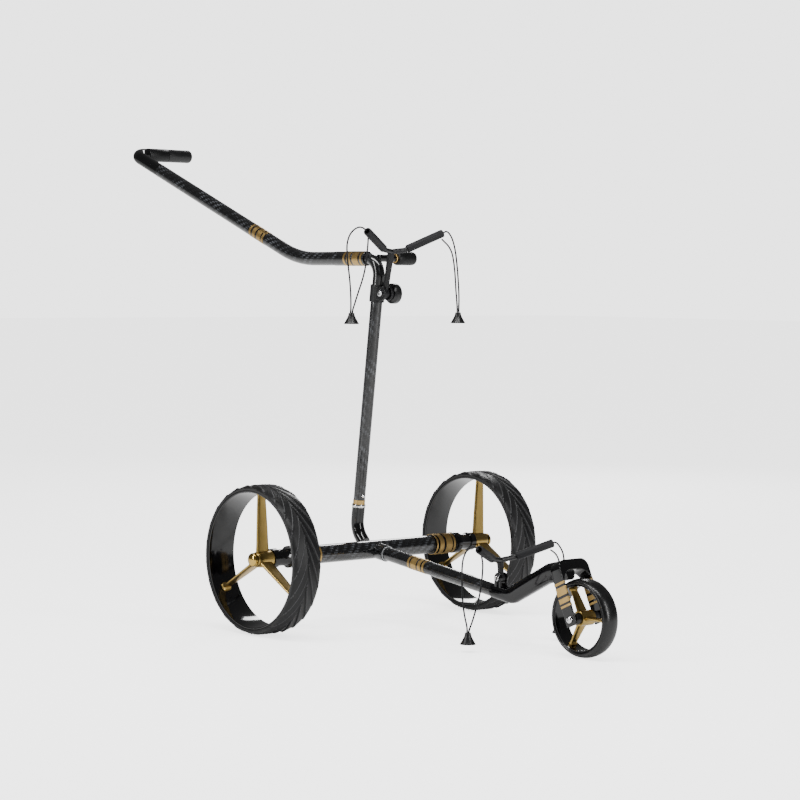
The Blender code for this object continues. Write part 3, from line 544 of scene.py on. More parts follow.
def filleted(corners: Sequence[Vector], radius: float, step: float = 0.12) -> list[Vector]:
    """A path with each inner corner turned into an arc.

    Args:
        corners: The path's corners.
        radius: The arcs' radius.
        step: The angle between an arc's points, in radians.

    Returns:
        The rounded path's points.
    """
    path = [Vector(corners[0])]
    for before, corner, after in zip(corners, corners[1:], corners[2:]):
        corner = Vector(corner)
        back, on = (Vector(before) - corner).normalized(), (Vector(after) - corner).normalized()
        turn = math.pi - back.angle(on)
        reach = radius * math.tan(turn / 2)
        centre = corner + (back + on).normalized() * (radius / math.cos(turn / 2))
        start, end = corner + back * reach, corner + on * reach
        count = max(2, math.ceil(turn / step))
        for i in range(count + 1):
            arm = (start - centre).slerp(end - centre, i / count).normalized()
            path.append(centre + arm * radius)
    path.append(Vector(corners[-1]))
    return path


def smooth_route(route: Sequence[Vector], spacing: float) -> list[Vector]:
    """Points at about the same spacing on a smooth curve through the route's points.

    Args:
        route: The points that the path follows.
        spacing: The distance between the new points.

    Returns:
        The evenly spaced points.
    """
    ends = [route[0] * 2 - route[1], *route, route[-1] * 2 - route[-2]]
    fine: list[Vector] = []
    for a, b, c, d in zip(ends, ends[1:], ends[2:], ends[3:]):
        for k in range(16):
            t = k / 16
            fine.append(((b * 2) + (c - a) * t + (a * 2 - b * 5 + c * 4 - d) * t * t
                         + (b * 3 - a - c * 3 + d) * t * t * t) / 2)
    fine.append(route[-1])
    lengths = [0.0]
    for one, two in zip(fine, fine[1:]):
        lengths.append(lengths[-1] + (two - one).length)
    count = round(lengths[-1] / spacing)
    points, index = [], 0
    for k in range(count + 1):
        wanted = lengths[-1] * k / count
        while index < len(fine) - 2 and lengths[index + 1] < wanted:
            index += 1
        part = (wanted - lengths[index]) / (lengths[index + 1] - lengths[index])
        points.append(fine[index].lerp(fine[index + 1], min(part, 1.0)))
    return points


def skin(name: str, rings: Sequence[Sequence[Vector]], rows: Sequence[float], turns: float,
         loop: bool = False) -> bpy.types.Mesh:
    """Stretches a closed surface over rings of points, with a map round and along it.

    Args:
        name: The mesh's name.
        rings: The rings, all with the same count of points.
        rows: Each ring's place along the surface, in the map's units.
        turns: The map's units in one turn.
        loop: Whether the last ring joins the first; otherwise both ends are closed.

    Returns:
        The mesh, with its faces pointing outwards.
    """
    shape = bmesh.new()
    layer = shape.loops.layers.uv.new("UVMap")
    made = [[shape.verts.new(p) for p in ring] for ring in rings]
    size = len(made[0])
    last = len(made) if loop else len(made) - 1
    for i in range(last):
        j = (i + 1) % len(made)
        for k in range(size):
            n = (k + 1) % size
            face = shape.faces.new((made[i][k], made[i][n], made[j][n], made[j][k]))
            row_j = rows[j] if j > i else rows[i] + (rows[-1] - rows[0]) / max(1, len(rows) - 1)
            places = ((k, rows[i]), (k + 1, rows[i]), (k + 1, row_j), (k, row_j))
            for corner, (around, along) in zip(face.loops, places):
                corner[layer].uv = (around / size * turns, along)
    if not loop:
        for ring in (made[0], made[-1]):
            shape.faces.new(ring)
    bmesh.ops.remove_doubles(shape, verts=shape.verts, dist=1e-7)
    bmesh.ops.recalc_face_normals(shape, faces=shape.faces)
    mesh = bpy.data.meshes.new(name)
    shape.to_mesh(mesh)
    shape.free()
    return mesh


def turned(name: str, profile: Profile, at: Vector, axis: Vector, steps: int = 96, ring: bool = False,
           tow: float = 4.5 * MM) -> bpy.types.Mesh:
    """A shape turned round an axis.

    Args:
        name: The mesh's name.
        profile: Pairs of a radius and a place along the axis.
        at: The point where the place along the axis is nought.
        axis: The axis.
        steps: The points in a turn.
        ring: Whether the profile closes on itself, as a tube's does.
        tow: The map's unit.

    Returns:
        The mesh.
    """
    axis = Vector(axis).normalized()
    one, two = across(axis)
    rings, rows, gone = [], [], 0.0
    for i, (radius, along) in enumerate(profile):
        if i:
            gone += math.dist(profile[i - 1], profile[i])
        rows.append(gone / tow)
        round_points = ((math.cos(a), math.sin(a)) for a in (math.tau * k / steps for k in range(steps)))
        rings.append([at + axis * along + (one * c + two * s) * max(radius, AXIS)
                      for c, s in round_points])
    widest = max(r for r, _ in profile)
    turns = max(4, 4 * round(math.tau * widest / (4 * tow)))
    return skin(name, rings, rows, turns, ring)


def swept(name: str, path: Sequence[Vector], sizes: Sequence[tuple[float, float]] | float,
          sides: int = 48, power: float = 2.0, tow: float = 4.5 * MM,
          guide: Vector = X_AXIS) -> bpy.types.Mesh:
    """A bar along a path, round or rounded-square, with a map round and along it.

    Args:
        name: The mesh's name.
        path: The centreline's points.
        sizes: One radius, or a half width and half depth for each point.
        sides: The points in a section.
        power: 2 for an ellipse, and more for a squarer section.
        tow: The map's unit.
        guide: The direction of a section's width at the start.

    Returns:
        The mesh.
    """
    if isinstance(sizes, float):
        sizes = [(sizes, sizes)] * len(path)
    rings, rows, gone = [], [], 0.0
    wide = guide
    for i, point in enumerate(path):
        before, after = path[max(i - 1, 0)], path[min(i + 1, len(path) - 1)]
        heading = (after - before).normalized()
        wide = (wide - heading * wide.dot(heading)).normalized()
        deep = heading.cross(wide)
        if i:
            gone += (point - path[i - 1]).length
        rows.append(gone / tow)
        half_wide, half_deep = sizes[i]
        ring = []
        for k in range(sides):
            c, s = math.cos(math.tau * k / sides), math.sin(math.tau * k / sides)
            x = math.copysign(abs(c) ** (2 / power), c) * half_wide
            y = math.copysign(abs(s) ** (2 / power), s) * half_deep
            ring.append(point + wide * x + deep * y)
        rings.append(ring)
    widest = max(max(pair) for pair in sizes)
    turns = max(4, 4 * round(math.tau * widest / (4 * tow)))
    return skin(name, rings, rows, turns)


def moulded(name: str, node: str, grain: float = 0.8 * MM, passes: int = 6) -> bpy.types.Mesh:
    """A node's own shape with its edges and joins run together, as they leave a mould.

    Args:
        name: The mesh's name.
        node: The CAD node.
        grain: The remeshed surface's step.
        passes: How many times it is smoothed.

    Returns:
        The mesh.
    """
    shape = bmesh.new()
    shape.from_mesh(bpy.data.objects[node].data)
    bmesh.ops.remove_doubles(shape, verts=shape.verts, dist=SAME_POINT)
    mesh = bpy.data.meshes.new(name)
    shape.to_mesh(mesh)
    shape.free()
    helper = bpy.data.objects.new(name + "_helper", mesh)
    bpy.context.scene.collection.objects.link(helper)
    remesh = helper.modifiers.new("run_together", "REMESH")
    remesh.mode = "VOXEL"
    remesh.voxel_size = grain
    ease = helper.modifiers.new("ease", "SMOOTH")
    ease.factor = 0.5
    ease.iterations = passes
    return plain_mesh(helper, name)


def plain_mesh(helper: bpy.types.Object, name: str) -> bpy.types.Mesh:
    """The mesh that a helper object shows, and the helper is removed.

    Args:
        helper: The object to evaluate, which is then removed.
        name: The new mesh's name.

    Returns:
        The evaluated mesh.
    """
    bpy.context.view_layer.update()
    shown = helper.evaluated_get(bpy.context.evaluated_depsgraph_get())
    mesh = bpy.data.meshes.new_from_object(shown)
    mesh.name = name
    bpy.data.objects.remove(helper)
    return mesh


def joined(name: str, meshes: Iterable[bpy.types.Mesh]) -> bpy.types.Mesh:
    """Several meshes as one.

    Args:
        name: The joined mesh's name.
        meshes: The meshes to join.

    Returns:
        One mesh of them all.
    """
    shape = bmesh.new()
    for mesh in meshes:
        shape.from_mesh(mesh)
    made = bpy.data.meshes.new(name)
    shape.to_mesh(made)
    shape.free()
    return made


def piece(mesh: bpy.types.Mesh, finish: Finish, body: str, stands_for: Sequence[str] = (),
          bevel: float = 0.0, crease: float = 38.0) -> bpy.types.Object:
    """Puts a finished piece in the scene, on its body.

    Args:
        mesh: The piece's mesh, with its place in it. Its name is the piece's.
        finish: Its finish.
        body: The CAD body that carries it.
        stands_for: The CAD nodes that it replaces.
        bevel: The width of a small round on its edges.
        crease: The angle in degrees past which an edge stays sharp.

    Returns:
        The piece.
    """
    item = bpy.data.objects.new(mesh.name, mesh)
    bpy.context.scene.collection.objects.link(item)
    mesh.materials.clear()
    mesh.materials.append(finish.material())
    if bevel:
        edge = item.modifiers.new("edge", "BEVEL")
        edge.width = bevel
        edge.segments = 3
        edge.limit_method = "ANGLE"
        edge.angle_limit = math.radians(40)
    mesh.shade_smooth()
    mesh.set_sharp_from_angle(angle=math.radians(crease))
    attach(item, body)
    if stands_for:
        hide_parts(*stands_for)
    LOG.info("%s rides on %s", item.name, body)
    return item


# ---------------------------------------------------------------- geometry nodes


@dataclass
class GeometryTree:
    """A Geometry Nodes tree with named inputs, run once to give a plain mesh."""

    name: str
    inputs: dict[str, tuple[str, Any]]
    tree: bpy.types.NodeTree = field(init=False)
    source: bpy.types.Node = field(init=False)

    def __post_init__(self) -> None:
        """Starts the tree with its inputs."""
        self.tree = bpy.data.node_groups.new(self.name, "GeometryNodeTree")
        face = self.tree.interface
        face.new_socket("Geometry", in_out="INPUT", socket_type="NodeSocketGeometry")
        for label, (kind, value) in self.inputs.items():
            socket = face.new_socket(label, in_out="INPUT", socket_type=kind)
            if kind != "NodeSocketMaterial":
                socket.default_value = value
        face.new_socket("Geometry", in_out="OUTPUT", socket_type="NodeSocketGeometry")
        self.source = self.tree.nodes.new("NodeGroupInput")

    def end(self, geometry: bpy.types.NodeSocket) -> None:
        """Realizes the instances, sets the material and closes the tree.

        Args:
            geometry: The finished shape's socket.
        """
        real = add_node(self.tree, "GeometryNodeRealizeInstances", {"Geometry": geometry}).outputs[0]
        dressed = add_node(self.tree, "GeometryNodeSetMaterial",
                           {"Geometry": real, "Material": self.source.outputs["Finish"]}).outputs[0]
        add_node(self.tree, "NodeGroupOutput", {"Geometry": dressed})

    def run(self, name: str, mesh: bpy.types.Mesh, **values: Any) -> bpy.types.Mesh:
        """Runs the tree on a mesh.

        Args:
            name: The result's name.
            mesh: What goes in.
            values: The inputs, with underscores for spaces.

        Returns:
            The plain mesh that comes out.
        """
        helper = bpy.data.objects.new(name + "_helper", mesh)
        bpy.context.scene.collection.objects.link(helper)
        runner = helper.modifiers.new(self.name, "NODES")
        runner.node_group = self.tree
        keys = {s.name: s.identifier for s in self.tree.interface.items_tree if s.in_out == "INPUT"}
        for label, value in values.items():
            runner[keys[label.replace("_", " ")]] = value
        return plain_mesh(helper, name)


def round_repeat_tree() -> GeometryTree:
    """Repeats what comes in evenly round the X axis, and moves the set to its centre."""
    made = GeometryTree("round_repeat", {
        "Count": ("NodeSocketInt", 3), "Centre": ("NodeSocketVector", (0, 0, 0)),
        "Finish": ("NodeSocketMaterial", None)})
    tree, given = made.tree, made.source.outputs
    line = add_node(tree, "GeometryNodeMeshLine", {"Count": given["Count"], "Offset": (0, 0, 0)})
    index = add_node(tree, "GeometryNodeInputIndex").outputs[0]
    turns = add_node(tree, MATHS, (index, math.tau), operation="MULTIPLY").outputs[0]
    share = add_node(tree, MATHS, (turns, given["Count"]), operation="DIVIDE").outputs[0]
    turn = add_node(tree, "ShaderNodeCombineXYZ", (share,)).outputs[0]
    copies = add_node(tree, "GeometryNodeInstanceOnPoints",
                      {"Points": line.outputs[0], "Instance": given["Geometry"], "Rotation": turn})
    moved = add_node(tree, "GeometryNodeTransform",
                     {"Geometry": copies.outputs[0], "Translation": given["Centre"]})
    made.end(moved.outputs[0])
    return made


def band_tree() -> GeometryTree:
    """Puts a thin band round a bar at each point that comes in, along its own axis and length."""
    made = GeometryTree("bands", {
        "Width": ("NodeSocketFloat", 0.03), "Depth": ("NodeSocketFloat", 0.03),
        "Corner": ("NodeSocketFloat", 0.015), "Skin": ("NodeSocketFloat", 0.0004),
        "Finish": ("NodeSocketMaterial", None)})
    tree, given = made.tree, made.source.outputs
    outline = add_node(tree, "GeometryNodeCurvePrimitiveQuadrilateral",
                       {"Width": given["Width"], "Height": given["Depth"]}).outputs[0]
    rounded = add_node(tree, "GeometryNodeFilletCurve",
                       {"Curve": outline, "Radius": given["Corner"], "Count": 22}, mode="POLY").outputs[0]
    strip = add_node(tree, "GeometryNodeCurvePrimitiveQuadrilateral",
                     {"Width": given["Skin"], "Height": 1.0}).outputs[0]
    band = add_node(tree, "GeometryNodeCurveToMesh", {"Curve": rounded, "Profile Curve": strip}).outputs[0]
    axis = add_node(tree, "GeometryNodeInputNamedAttribute", {"Name": "axis"}, data_type="FLOAT_VECTOR")
    length = add_node(tree, "GeometryNodeInputNamedAttribute", {"Name": "length"}, data_type="FLOAT")
    turn = add_node(tree, "FunctionNodeAlignRotationToVector", {"Vector": axis.outputs[0]}, axis="Z")
    size = add_node(tree, "ShaderNodeCombineXYZ", {0: 1.0, 1: 1.0, 2: length.outputs[0]}).outputs[0]
    placed = add_node(tree, "GeometryNodeInstanceOnPoints", {
        "Points": given["Geometry"], "Instance": band, "Rotation": turn.outputs[0], "Scale": size})
    made.end(placed.outputs[0])
    return made


def tread_tree() -> GeometryTree:
    """Presses swept-back leaves into a tyre's crown, the two halves half a step apart."""
    made = GeometryTree("arrow_tread", {
        "Centre": ("NodeSocketVector", (0, 0, 0)), "Radius": ("NodeSocketFloat", 0.145),
        "Half Width": ("NodeSocketFloat", 0.03), "Leaves": ("NodeSocketFloat", 22.0),
        "Sweep": ("NodeSocketFloat", 2.2), "Depth": ("NodeSocketFloat", 0.0036),
        "Finish": ("NodeSocketMaterial", None)})
    tree, given = made.tree, made.source.outputs
    place = add_node(tree, "GeometryNodeInputPosition").outputs[0]
    local = add_node(tree, "ShaderNodeVectorMath", {0: place, 1: given["Centre"]}, operation="SUBTRACT")
    x, y, z = add_node(tree, "ShaderNodeSeparateXYZ", (local.outputs[0],)).outputs

    # How far out a point is, and how many leaves round: the left half starts half a leaf on.
    y_squared = add_node(tree, MATHS, (y, y), operation="MULTIPLY").outputs[0]
    z_squared = add_node(tree, MATHS, (z, z), operation="MULTIPLY").outputs[0]
    squared = add_node(tree, MATHS, (y_squared, z_squared), operation="ADD").outputs[0]
    radius = add_node(tree, MATHS, (squared,), operation="SQRT").outputs[0]
    angle = add_node(tree, MATHS, (z, y), operation="ARCTAN2").outputs[0]
    turn = add_node(tree, MATHS, (angle, math.tau), operation="DIVIDE").outputs[0]
    off_centre = add_node(tree, MATHS, (x,), operation="ABSOLUTE").outputs[0]
    share = add_node(tree, MATHS, (off_centre, given["Half Width"]), operation="DIVIDE").outputs[0]
    out = add_node(tree, MATHS, (share, 1.0), operation="MINIMUM").outputs[0]
    right_half = add_node(tree, MATHS, (x, 0.0), operation="GREATER_THAN").outputs[0]
    half_step = add_node(tree, MATHS, (right_half, 0.5), operation="MULTIPLY").outputs[0]
    curved = add_node(tree, MATHS, (out, 0.8), operation="POWER").outputs[0]
    swept_back = add_node(tree, MATHS, (curved, given["Sweep"]), operation="MULTIPLY").outputs[0]
    leaves = add_node(tree, MATHS, (turn, given["Leaves"], half_step), operation="MULTIPLY_ADD").outputs[0]
    step = add_node(tree, MATHS, (leaves, swept_back), operation="ADD").outputs[0]
    part = add_node(tree, MATHS, (step,), operation="FRACT").outputs[0]

    # Each leaf has a raised rib at its edge and falls away behind it.
    from_rib = add_node(tree, MATHS, (part, RIB_SHARE), operation="SUBTRACT").outputs[0]
    distance = add_node(tree, MATHS, (from_rib,), operation="ABSOLUTE").outputs[0]
    fade = add_node(tree, MATHS, (distance, RIB_SHARE), operation="DIVIDE").outputs[0]
    rib = add_node(tree, MATHS, (1.0, fade), operation="SUBTRACT").outputs[0]
    leaf = add_node(tree, MATHS, (part, LEAF_FALL, LEAF_TOP), operation="MULTIPLY_ADD").outputs[0]
    height = add_node(tree, MATHS, (rib, leaf), operation="MAXIMUM").outputs[0]
    pressed = add_node(tree, MATHS, (1.0, height), operation="SUBTRACT").outputs[0]

    # Only the crown is pressed: the mask fades out on the shoulders.
    shoulder = add_node(tree, MATHS, (given["Radius"], TREAD_FOOT), operation="SUBTRACT").outputs[0]
    above = add_node(tree, MATHS, (radius, shoulder), operation="SUBTRACT").outputs[0]
    crown = add_node(tree, MATHS, (above, TREAD_FADE), operation="DIVIDE").outputs[0]
    at_most = add_node(tree, MATHS, (crown, 1.0), operation="MINIMUM").outputs[0]
    mask = add_node(tree, MATHS, (at_most, 0.0), operation="MAXIMUM").outputs[0]
    masked = add_node(tree, MATHS, (pressed, mask), operation="MULTIPLY").outputs[0]
    fall = add_node(tree, MATHS, (masked, given["Depth"]), operation="MULTIPLY").outputs[0]
    inward = add_node(tree, MATHS, (fall, -1.0), operation="MULTIPLY").outputs[0]
    outward = add_node(tree, "ShaderNodeCombineXYZ", {1: y, 2: z}).outputs[0]
    unit = add_node(tree, "ShaderNodeVectorMath", (outward,), operation="NORMALIZE").outputs[0]
    shift = add_node(tree, "ShaderNodeVectorMath", {0: unit, "Scale": inward}, operation="SCALE").outputs[0]
    # The rib's crest is stored as the ridge attribute, where the tread's painted highlight goes.
    standing = add_node(tree, MATHS, (rib, 0.0), operation="MAXIMUM").outputs[0]
    edge = add_node(tree, MATHS, (standing, mask), operation="MULTIPLY").outputs[0]
    marked = add_node(tree, "GeometryNodeStoreNamedAttribute",
                      {"Geometry": given["Geometry"], "Name": "ridge", "Value": edge}).outputs[0]
    moved = add_node(tree, "GeometryNodeSetPosition", {"Geometry": marked, "Offset": shift})
    made.end(moved.outputs[0])
    return made


@dataclass
class Workshop:
    """The datum and the shared trees that every sub-assembly uses."""

    datum: Datum
    repeat: GeometryTree
    bands: GeometryTree
    tread: GeometryTree

    def band_set(self, name: str, spans: Sequence[tuple[Vector, Vector]], width: float, depth: float,
                 corner: float, body: str) -> bpy.types.Object:
        """Makes a set of gold bands round one bar.

        Args:
            name: The piece's name.
            spans: Each band's two ends on the bar's centreline.
            width: The bar's width.
            depth: The bar's depth.
            corner: The radius of its section's corners.
            body: The CAD body that carries them.

        Returns:
            The bands, as one piece.
        """
        seats = bpy.data.meshes.new(name + "_seats")
        seats.from_pydata([(a + b) / 2 for a, b in spans], [], [])
        seats.attributes.new("axis", "FLOAT_VECTOR", "POINT")
        seats.attributes.new("length", "FLOAT", "POINT")
        for i, (a, b) in enumerate(spans):
            seats.attributes["axis"].data[i].vector = (b - a).normalized()
            seats.attributes["length"].data[i].value = (b - a).length
        made = self.bands.run(name, seats, Width=width, Depth=depth, Corner=corner, Skin=BAND_SKIN,
                              Finish=BAND_GOLD.material())
        return piece(facing_out(made), BAND_GOLD, body)

    def round_bands(self, name: str, spans: Sequence[tuple[Vector, Vector]], radius: float,
                    body: str) -> bpy.types.Object:
        """Makes a set of gold bands round a tube, whose section's corners meet in a circle.

        Args:
            name: The piece's name.
            spans: Each band's two ends on the tube's centreline.
            radius: The tube's radius.
            body: The CAD body that carries them.

        Returns:
            The bands, as one piece.
        """
        size = 2 * (radius + BAND_GAP)
        return self.band_set(name, spans, size, size, size / 2 - AXIS, body)


def facing_out(mesh: bpy.types.Mesh) -> bpy.types.Mesh:
    """The mesh with its doubles merged and its faces pointing outwards.

    Args:
        mesh: The mesh to close and turn.

    Returns:
        The same mesh.
    """
    shape = bmesh.new()
    shape.from_mesh(mesh)
    bmesh.ops.remove_doubles(shape, verts=shape.verts, dist=SAME_POINT)
    bmesh.ops.recalc_face_normals(shape, faces=shape.faces)
    shape.to_mesh(mesh)
    shape.free()
    return mesh


# ---------------------------------------------------------------- sub-assemblies


@dataclass
class ElasticLoop:
    """One elastic bag cord: out from an arm's tip, down through its cone pull and back."""

    level: Level
    side: Side
    tip: Vector
    legs: tuple[Profile, Profile]
    length: float
    radius: float = 0.00165
    eye_radius: float = 0.0066
    eye_drop: float = 0.0155
    cone_drop: float = 0.0020
    cone_height: float = 0.0215
    cone_wall: float = 0.0013
    point_spacing: float = 0.0030
    yarns_round: int = 8

    def build(self) -> None:
        outer_leg, inner_leg = self.legs
        low_outer, low_inner = outer_leg[-1], inner_leg[0]
        bottom = ((low_outer[0] + low_inner[0]) / 2, (low_outer[1] + low_inner[1]) / 2)
        eye = [(bottom[0] + self.eye_radius * math.cos(a),
                bottom[1] - self.eye_drop + self.eye_radius * math.sin(a))
               for a in (math.radians(d) for d in range(45, -226, -30))]
        route = [self.tip + Vector((self.side.value * x, 0, z))
                 for x, z in (*outer_leg, *eye, *inner_leg)]
        name = f"{self.level.value}_{self.side.label}"
        body = f"{self.level.value}_bracket"
        line = smooth_route(route, self.point_spacing)
        yarn = math.tau * self.radius / self.yarns_round
        cord = piece(swept(f"{name}_bag_cord", line, self.radius, 12, tow=yarn, guide=Vector((0, 1, 0))),
                     CORD_COVER, body, [f"{name}_cord"])
        top = self.tip + Vector((self.side.value * bottom[0], 0, bottom[1] - self.cone_drop))
        cone = piece(turned(f"{name}_cone_pull", self.cone_profile(), top, Z_AXIS, 64, ring=True),
                     KNOB_PLASTIC, body, [f"{name}_cone"])
        tuple(route[0])

    def cone_profile(self) -> list[tuple[float, float]]:
        """The cone's wall: flared outside with a rolled rim, and open below."""
        flare = [(0.0057, 0.0), (0.0060, -0.0030), (0.0068, -0.0060), (0.0082, -0.0092),
                 (0.0100, -0.0126), (0.0122, -0.0166), (0.0139, -0.0196), (0.0146, -0.0205),
                 (0.0146, -self.cone_height)]
        return flare + [(r - self.cone_wall, z) for r, z in reversed(flare)]


@dataclass
class BagBracket:
    """A forked bag bracket with its two rubber sleeves."""

    shop: Workshop
    level: Level
    sleeve_start: Vector
    tip: Vector
    legs: dict[str, tuple[Profile, Profile]]
    cord_lengths: dict[str, float]
    sleeve_radius: float = 0.0080
    sleeve_bore: float = 0.0055

    def build(self) -> None:
        """Makes the bracket, its sleeves and its cords."""
        name = self.level.value
        body = f"{name}_bracket"
        piece(moulded(f"{name}_forked_bracket", f"{name}_bag_bracket", 0.6 * MM, 8), NYLON, body,
              [f"{name}_bag_bracket"])
        for side in Side:
            start = self.shop.datum.at(self.sleeve_start.x * side.value, self.sleeve_start.y,
                                       self.sleeve_start.z)
            tip = self.shop.datum.at(self.tip.x * side.value, self.tip.y, self.tip.z)
            heading, length = (tip - start).normalized(), (tip - start).length
            r, b = self.sleeve_radius, self.sleeve_bore
            outline = [(b, 0), (r - 0.0010, 0), (r - 0.0003, 0.0003), (r, 0.0010), (r, 0.5 * length),
                       (r, length - 0.0022), (r - 0.0006, length - 0.0008), (r - 0.0020, length),
                       (b, length)]
            piece(turned(f"{name}_{side.label}_foam_sleeve", outline, start, heading, 64, ring=True),
                  SLEEVE_RUBBER, body, [f"{name}_{side.label}_sleeve"])
            ElasticLoop(self.level, side, tip, self.legs[side.label], self.cord_lengths[side.label]).build()


@dataclass
class DrivenWheel:
    """A driven wheel: treaded tyre, gloss rim, gold spokes and the release button."""

    shop: Workshop
    side: Side
    half_track: float = 0.2828
    half_width: float = 0.0318
    radius: float = 0.1450
    rim_inner: float = 0.1300
    rim_outer: float = 0.1335
    hub_start: float = 0.2630
    hub_end: float = 0.3005
    leaves: float = 22.0

    def build(self) -> None:
        """Makes the wheel's pieces."""
        side, body = self.side, f"{self.side.label}_wheel"
        axle = self.shop.datum.at(0, 0, AXLE_HEIGHT)
        out = X_AXIS * side.value
        centre = axle + out * self.half_track
        piece(self.tyre(centre, out), TYRE, body, [f"{side.label}_tyre"], crease=60)
        piece(turned(f"{side.label}_gloss_rim", self.rim_profile(), centre, out, 192, ring=True),
              LACQUER, body, [f"{side.label}_rim"])
        barrel = [(AXIS, self.hub_end), (0.0129, self.hub_end), (0.0136, self.hub_end - 0.0007),
                  (0.0145, 0.2960), (0.0154, 0.2925), (0.0160, 0.2890), (0.0160, 0.2850),
                  (0.0160, self.hub_start + 0.0008), (0.0152, self.hub_start), (0.0068, self.hub_start),
                  (0.0068, 0.2895), (AXIS, 0.2900)]
        piece(turned(f"{side.label}_hub_barrel", barrel, axle, out, 96), GOLD, body,
              [f"{side.label}_wheel_hub"])
        piece(self.spokes(axle), GOLD, body)
        base = self.hub_end + 0.0028
        dome = [(AXIS, 0.3120)] + [
            (0.0132 * math.cos(a), base + 0.0024 + (0.3120 - base - 0.0024) * math.sin(a))
            for a in (math.radians(d) for d in range(84, -1, -6))]
        dome += [(0.0132, base + 0.0004), (0.0128, base), (0.0050, base), (0.0050, 0.2930), (AXIS, 0.2930)]
        piece(turned(f"{side.label}_release_dome", dome, axle, out, 96), BRIGHT_GOLD,
              f"{side.label}_release", [f"{side.label}_release_button"])

    def tyre(self, centre: Vector, out: Vector) -> bpy.types.Mesh:
        """The tyre's smooth body with the tread pressed into its crown.

        Args:
            centre: The wheel's centre.
            out: The way outwards along X.

        Returns:
            The treaded tyre's mesh.
        """
        h = self.half_width
        shoulder = [(0.1338, h - 0.0009), (0.1365, h - 0.0002), (0.1395, h), (0.1412, h - 0.0007),
                    (0.1426, h - 0.0020), (0.1436, h - 0.0040), (0.1443, h - 0.0070)]
        crown = [(self.radius - 0.0005 * (k / 20) ** 2, (h - 0.0085) * k / 20) for k in range(20, -1, -1)]
        half = shoulder + crown
        profile = half + [(r, -x) for r, x in reversed(half[:-1])]
        smooth = turned(f"{self.side.label}_tyre_body", profile, centre, out, 720, ring=True)
        return self.shop.tread.run(f"{self.side.label}_arrow_tyre", smooth, Centre=tuple(centre),
                                   Radius=self.radius, Half_Width=h, Leaves=self.leaves,
                                   Finish=TYRE.material())

    def rim_profile(self) -> list[tuple[float, float]]:
        """The rim's thin wall, with a small rolled lip on each edge."""
        a, b, h, r = self.rim_inner, self.rim_outer, 0.0300, 0.0008
        return [(a, h - r), (a + 0.0002, h - 0.0002), (a + r, h), (b - r, h), (b, h - r),
                (b, 0.0), (b, r - h), (b - r, -h), (a + r, -h), (a + 0.0002, 0.0002 - h), (a, r - h),
                (a, 0.0)]

    def spokes(self, axle: Vector) -> bpy.types.Mesh:
        """Three blades with oval feet, repeated round the axle.

        Args:
            axle: The axle's middle.

        Returns:
            The three blades' mesh.
        """
        reach = [(0.0080, 0.2825, 0.0150, 0.0046), (0.0170, 0.2826, 0.0149, 0.0044),
                 (0.0300, 0.2828, 0.0142, 0.0038), (0.0600, 0.2836, 0.0130, 0.0035),
                 (0.0900, 0.2846, 0.0115, 0.0032), (0.1180, 0.2855, 0.0100, 0.0030),
                 (0.1245, 0.2855, 0.0098, 0.0034), (0.1258, 0.2855, 0.0100, 0.0058),
                 (0.1266, 0.2855, 0.0103, 0.0088), (0.1288, 0.2855, 0.0104, 0.0095),
                 (0.1296, 0.2855, 0.0102, 0.0093)]
        path = [Vector((x * self.side.value, 0, r)) for r, x, _, _ in reach]
        blade = swept("blade", path, [(w, t) for _, _, w, t in reach], 40, power=2.6)
        made = self.shop.repeat.run(f"{self.side.label}_spokes", blade, Count=3, Centre=tuple(axle),
                                    Finish=GOLD.material())
        return made


